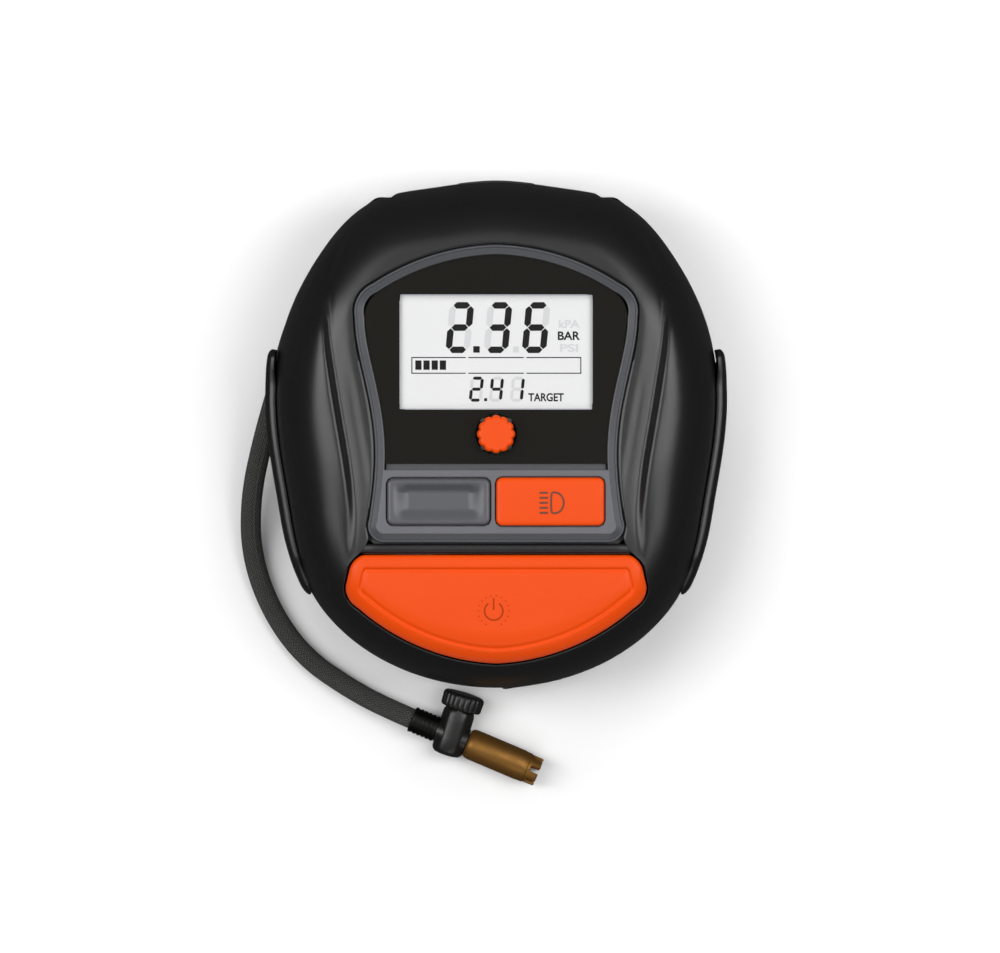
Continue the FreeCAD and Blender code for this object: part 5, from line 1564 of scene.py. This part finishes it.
@dataclass
class Fitting:
    """Ferrule, valve body with its release button, and the brass chuck, all on one slanting axis."""

    angle: float = -23.0
    tilt: float = 5.0
    lean: float = 5.5
    origin: tuple[float, float, float] = (-32.6, -109.9, 7.05)
    branch: float = 16.8
    chuck_start: float = 23.3
    chuck_radius: float = 6.0
    mouth: float = 53.2

    def place(self, points: Array) -> Array:
        """Turns points from the fitting's own frame, where X runs to the chuck's mouth, into the part's."""
        turn = Matrix.Rotation(math.radians(self.angle), 3, "Z")
        tilt = Matrix.Rotation(math.radians(self.tilt), 3, "X")
        return points @ np.array(turn @ tilt).T + np.array(self.origin)

    def branched(self, grid: Array) -> Array:
        """Moves a grid turned about X so that its axis is the release branch."""
        lean = math.radians(self.lean)
        aside = grid[..., 1] * math.cos(lean) - grid[..., 0] * math.sin(lean)
        along = grid[..., 1] * math.sin(lean) + grid[..., 0] * math.cos(lean)
        return np.stack([aside + self.branch, along, grid[..., 2]], axis=-1)

    def ferrule(self, shop: Workshop) -> bpy.types.Object:
        """Crimped sleeve with five rounded ribs."""
        profile = [(0.0, 4.0), (0.0, 4.7), (0.3, 5.0)]
        for index in range(5):
            start = 1.3 + 1.75 * index
            profile += [(start, 5.0), (start + 0.25, 4.72), (start + 0.75, 4.72), (start + 1.0, 5.0)]
        profile += [(10.1, 5.0), (10.4, 4.6), (10.4, 0.0)]
        shape = Shape("ribbed_ferrule").grid(self.place(lathe(profile, 64)))
        mouth = self.place(lathe([(0.0, 4.0), (3.0, 4.0), (3.0, 0.0)], 64))
        return shop.finish(shape.grid(mouth).make(), "steel_dark", replaced=["hose_ferrule"])

    def body(self, shop: Workshop) -> bpy.types.Object:
        """Moulded tee: a barrel with flats, a neck to the ferrule and a collar at the chuck."""

        def flats(turn: Array, row: Array) -> Array:
            """Draws the barrel's sides in a little, so that it reads as six soft flats."""
            inside = ((row > 2) & (row < 9)).astype(float)
            return -0.32 * inside * np.abs(np.sin(3.0 * turn)) ** 1.5

        barrel = [
            (-7.6, 0.0),
            (-7.6, 3.4),
            (-7.3, 4.8),
            (-6.5, 5.75),
            (-5.4, 6.15),
            (-1.0, 6.2),
            (5.6, 6.2),
            (8.6, 6.2),
            (9.6, 6.0),
            (10.6, 5.6),
            (11.1, 5.0),
            (11.2, 3.25),
            (4.0, 3.25),
            (4.0, 0.0),
        ]
        shape = Shape("valve_tee").grid(self.place(self.branched(lathe(barrel, 96, flats))))
        neck = [(9.9, 0.0), (9.9, 4.2), (10.4, 4.5), (12.2, 4.6), (13.2, 5.1), (15.0, 5.3), (15.0, 0.0)]
        collar = [(17.0, 0.0), (17.0, 4.9), (22.0, 4.9), (22.9, 4.8), (23.1, 4.5), (23.1, 3.3)]
        collar += [(30, 3.3), (30, 0.0)]
        shape.grid(self.place(lathe(neck, 64))).grid(self.place(lathe(collar, 64)))
        return shop.finish(shape.make(), "black_plastic", replaced=["valve_body"])

    def button(self, shop: Workshop) -> bpy.types.Object:
        """Mushroom-shaped release button with twenty rounded ribs and a domed top."""

        def ribs(turn: Array, row: Array) -> Array:
            """Waves the rim between the ribs."""
            rim = ((row > 2) & (row < 11)).astype(float)
            return -0.42 * rim * (1.0 - np.abs(np.cos(10.0 * turn)) ** 0.7)

        profile = [
            (4.0, 0.0),
            (4.0, 3.1),
            (13.5, 3.1),
            (13.5, 6.75),
            (11.2, 6.8),
            (11.0, 7.1),
            (11.05, 7.5),
            (11.5, 7.85),
            (12.4, 7.95),
            (15.6, 8.1),
            (16.5, 7.85),
            (16.95, 7.2),
            (17.1, 6.2),
            (17.15, 4.0),
            (17.2, 0.0),
        ]
        cap = Shape("release_cap").grid(self.place(self.branched(lathe(profile, 200, ribs)))).make()
        return shop.finish(cap, "black_plastic", "release", ["release_button"])

    def chuck(self, shop: Workshop) -> bpy.types.Object:
        """Brass sleeve with a castellated mouth, bored out to its seal."""
        start, end, radius = self.chuck_start, self.mouth, self.chuck_radius
        turn = np.linspace(0, 2 * np.pi, 288, endpoint=False)
        wave = np.abs(((turn / (2 * np.pi) * 6 + 1 / 6) % 1.0) - 0.5) * 2
        tooth = 1.0 - smooth_step(0.40, 0.46, wave)
        profile = [
            (start, 3.42, 0),
            (start, radius - 1.1, 0),
            (start + 0.35, radius - 0.65, 0),
            (start + 1.1, radius - 0.2, 0),
            (start + 2.2, radius, 0),
            (end - 7.6, radius, 0),
            (end - 7.2, radius - 0.12, 0),
            (end - 4.9, radius - 0.15, 0),
            (end - 4.6, radius - 0.42, 0),
            (end - 3.8, radius - 0.45, 0),
            (end - 0.45, radius - 0.47, 1),
            (end, radius - 0.8, 1),
            (end, 4.75, 1),
            (end - 0.4, 4.45, 1),
            (end - 3.7, 4.4, 0),
            (49.3, 4.4, 0),
            (49.2, 3.87, 0),
            (41.0, 3.87, 0),
            (41.0, 3.42, 0),
        ]
        rows = []
        for along, size, notched in profile:
            x = along - (3.4 * tooth if notched else 0.0 * tooth)
            rows.append(np.column_stack([x, size * np.cos(turn), size * np.sin(turn)]))
        sleeve = Shape("chuck_sleeve").grid(self.place(np.stack(rows)), close_rows=True).make(smooth=32.0)
        return shop.finish(sleeve, "brass", "chuck", ["brass_chuck"])

    def build(self, shop: Workshop) -> list[bpy.types.Object]:
        """Makes the fitting's pieces and gives them back, with the CAD nodes that stay among them."""
        made = [self.ferrule(shop), self.body(shop), self.button(shop), self.chuck(shop)]
        return made + [shop.frame["nodes"][name] for name in ("chuck_seal", "valve_depressor")]


@dataclass
class Outlet:
    """Socket that the hose starts from, and the stub that feeds it through the groove ring."""

    start: tuple[float, float, float] = (12.0, -92.6, 28.7)
    towards: tuple[float, float, float] = (31.0, -89.8, 28.3)

    def build(self, shop: Workshop) -> None:
        """Makes the socket as a turned profile on the hose's first direction, and the stub across it."""
        start = np.array(self.start)
        way = np.array(self.towards) - start
        way = way / np.linalg.norm(way)
        side = np.cross((0.0, 0.0, 1.0), way)
        side = side / np.linalg.norm(side)
        frame = np.stack([way, side, np.cross(way, side)])
        socket = [(-10.4, 0.0), (-10.4, 3.5), (-9.8, 4.1), (-8.8, 4.25), (1.4, 4.25), (1.9, 4.0)]
        socket += [(1.9, 3.96), (0.0, 3.96), (0.0, 0.0)]
        shape = Shape("hose_socket").grid(lathe(socket, 64) @ frame + start)
        across = np.array([[0.0, -1.0, 0.0], [1.0, 0.0, 0.0], [0.0, 0.0, 1.0]])
        stub = [(0.0, 0.0), (0.0, 1.85), (4.4, 1.85), (4.4, 3.1), (4.7, 3.4), (14.5, 3.4), (14.5, 0.0)]
        shape.grid(lathe(stub, 48) @ across + np.array([3.0, -77.0, 28.7]))
        shop.finish(shape.make(), "black_plastic", replaced=["hose_outlet"])


# ------------------------------------------------------------------ studio


@dataclass
class Studio:
    """Camera straight above, a pale floor and soft lights round the sides."""

    distance: float = 6.0
    plane: float = 40.0
    centre: tuple[float, float] = (1.5, -16.2)
    width: float = 384.6

    def camera(self) -> None:
        """A long lens that looks straight down; its field is the given width at the reference plane."""
        data = bpy.data.cameras.new("camera")
        data.sensor_width = 36.0
        data.lens = 36.0 * self.distance / (self.width * METRES)
        holder = bpy.data.objects.new("camera", data)
        holder.location = (
            self.centre[0] * METRES,
            self.centre[1] * METRES,
            self.distance + self.plane * METRES,
        )
        bpy.context.scene.collection.objects.link(holder)
        bpy.context.scene.camera = holder

    def floor(self) -> None:
        """A wide pale floor under the feet."""
        half = 2500.0
        corners = np.array([(-half, -half), (half, -half), (half, half), (-half, half)])
        floor = Shape("floor").flat([corners], -0.05).make(outwards=False)
        made, w, shader, where = fresh_material("floor")
        tone = w.noise(where.outputs["Object"], 3.0)
        w.join(w.blend(tone, (0.93, 0.93, 0.93, 1), (0.95, 0.95, 0.95, 1)), shader.inputs["Base Color"])
        shader.inputs["Roughness"].default_value = 0.9
        shader.inputs["Specular IOR Level"].default_value = 0.1
        floor.data.materials.append(made)
        floor.visible_glossy = False

    def light(
        self, name: str, place: Sequence[float], size: Sequence[float], power: float, seen: bool
    ) -> None:
        """An area light that looks at the part.

        Args:
            name: its name.
            place: where it is, in metres.
            size: its width and height, in metres.
            power: in watts.
            seen: whether glossy faces mirror it.
        """
        data = bpy.data.lights.new(name, "AREA")
        data.shape = "RECTANGLE"
        data.size, data.size_y = size
        data.energy = power
        holder = bpy.data.objects.new(name, data)
        spot = Matrix.Translation(place)
        way = -spot.translation.normalized()
        holder.matrix_world = spot @ way.to_track_quat("-Z", "Y").to_matrix().to_4x4()
        holder.visible_glossy = seen
        bpy.context.scene.collection.objects.link(holder)

    def build(self) -> None:
        """Makes floor, lights and surroundings."""
        self.floor()
        self.light("left_box", (-1.00, 0.10, 1.56), (0.7, 1.5), 17, True)
        self.light("right_box", (1.00, 0.10, 1.56), (0.7, 1.5), 17, True)
        self.light("top_fill", (0.0, 1.5, 1.5), (1.6, 1.0), 17, False)
        self.light("wide_fill", (0.0, -0.4, 2.2), (3.0, 3.0), 13, False)
        self.light("low_box", (0.1, -1.5, 1.4), (1.2, 0.35), 4, True)
        world = bpy.data.worlds.new("surroundings")
        world.use_nodes = True
        back = world.node_tree.nodes["Background"]
        back.inputs["Color"].default_value = (1.0, 1.0, 1.0, 1.0)
        back.inputs["Strength"].default_value = 0.05
        bpy.context.scene.world = world
        bpy.context.scene.view_settings.view_transform = "Standard"


def small_keys() -> list[SmallKey]:
    """The lamp key and the scooped unit key."""
    return [
        SmallKey("lamp_button", "light_key", "lamp_key", "orange", (20.7, -25.8), 41.4, 18.4),
        SmallKey("unit_button", "unit_key", "units_key", "key_grey", (-22.0, -25.8), 39.4, 17.8, scoop=3.1),
    ]


def main() -> None:
    """Builds the scene, one sub-assembly after the other."""
    logging.basicConfig(level=logging.INFO, format="%(name)s: %(message)s")
    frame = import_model()
    studio = Studio()
    studio.camera()
    shop = Workshop(frame)
    shop.prepare()
    shop.dress_cad()
    forms = Forms()
    fitting = Fitting()
    on_hose = fitting.build(shop)
    Hose().build(shop, fitting, on_hose)
    Outlet().build(shop)
    FrontCover(forms).build(shop)
    WorkLamp(forms).build(shop)
    HoseGuards(forms).build(shop)
    Bezel(forms).build(shop)
    Readout().build(shop)
    Mask().build(shop)
    Knob().build(shop)
    for key in small_keys():
        key.build(shop)
    LampIcon().build(shop)
    PowerKey(forms).build(shop)
    studio.build()


if __name__ == "__main__":
    main()
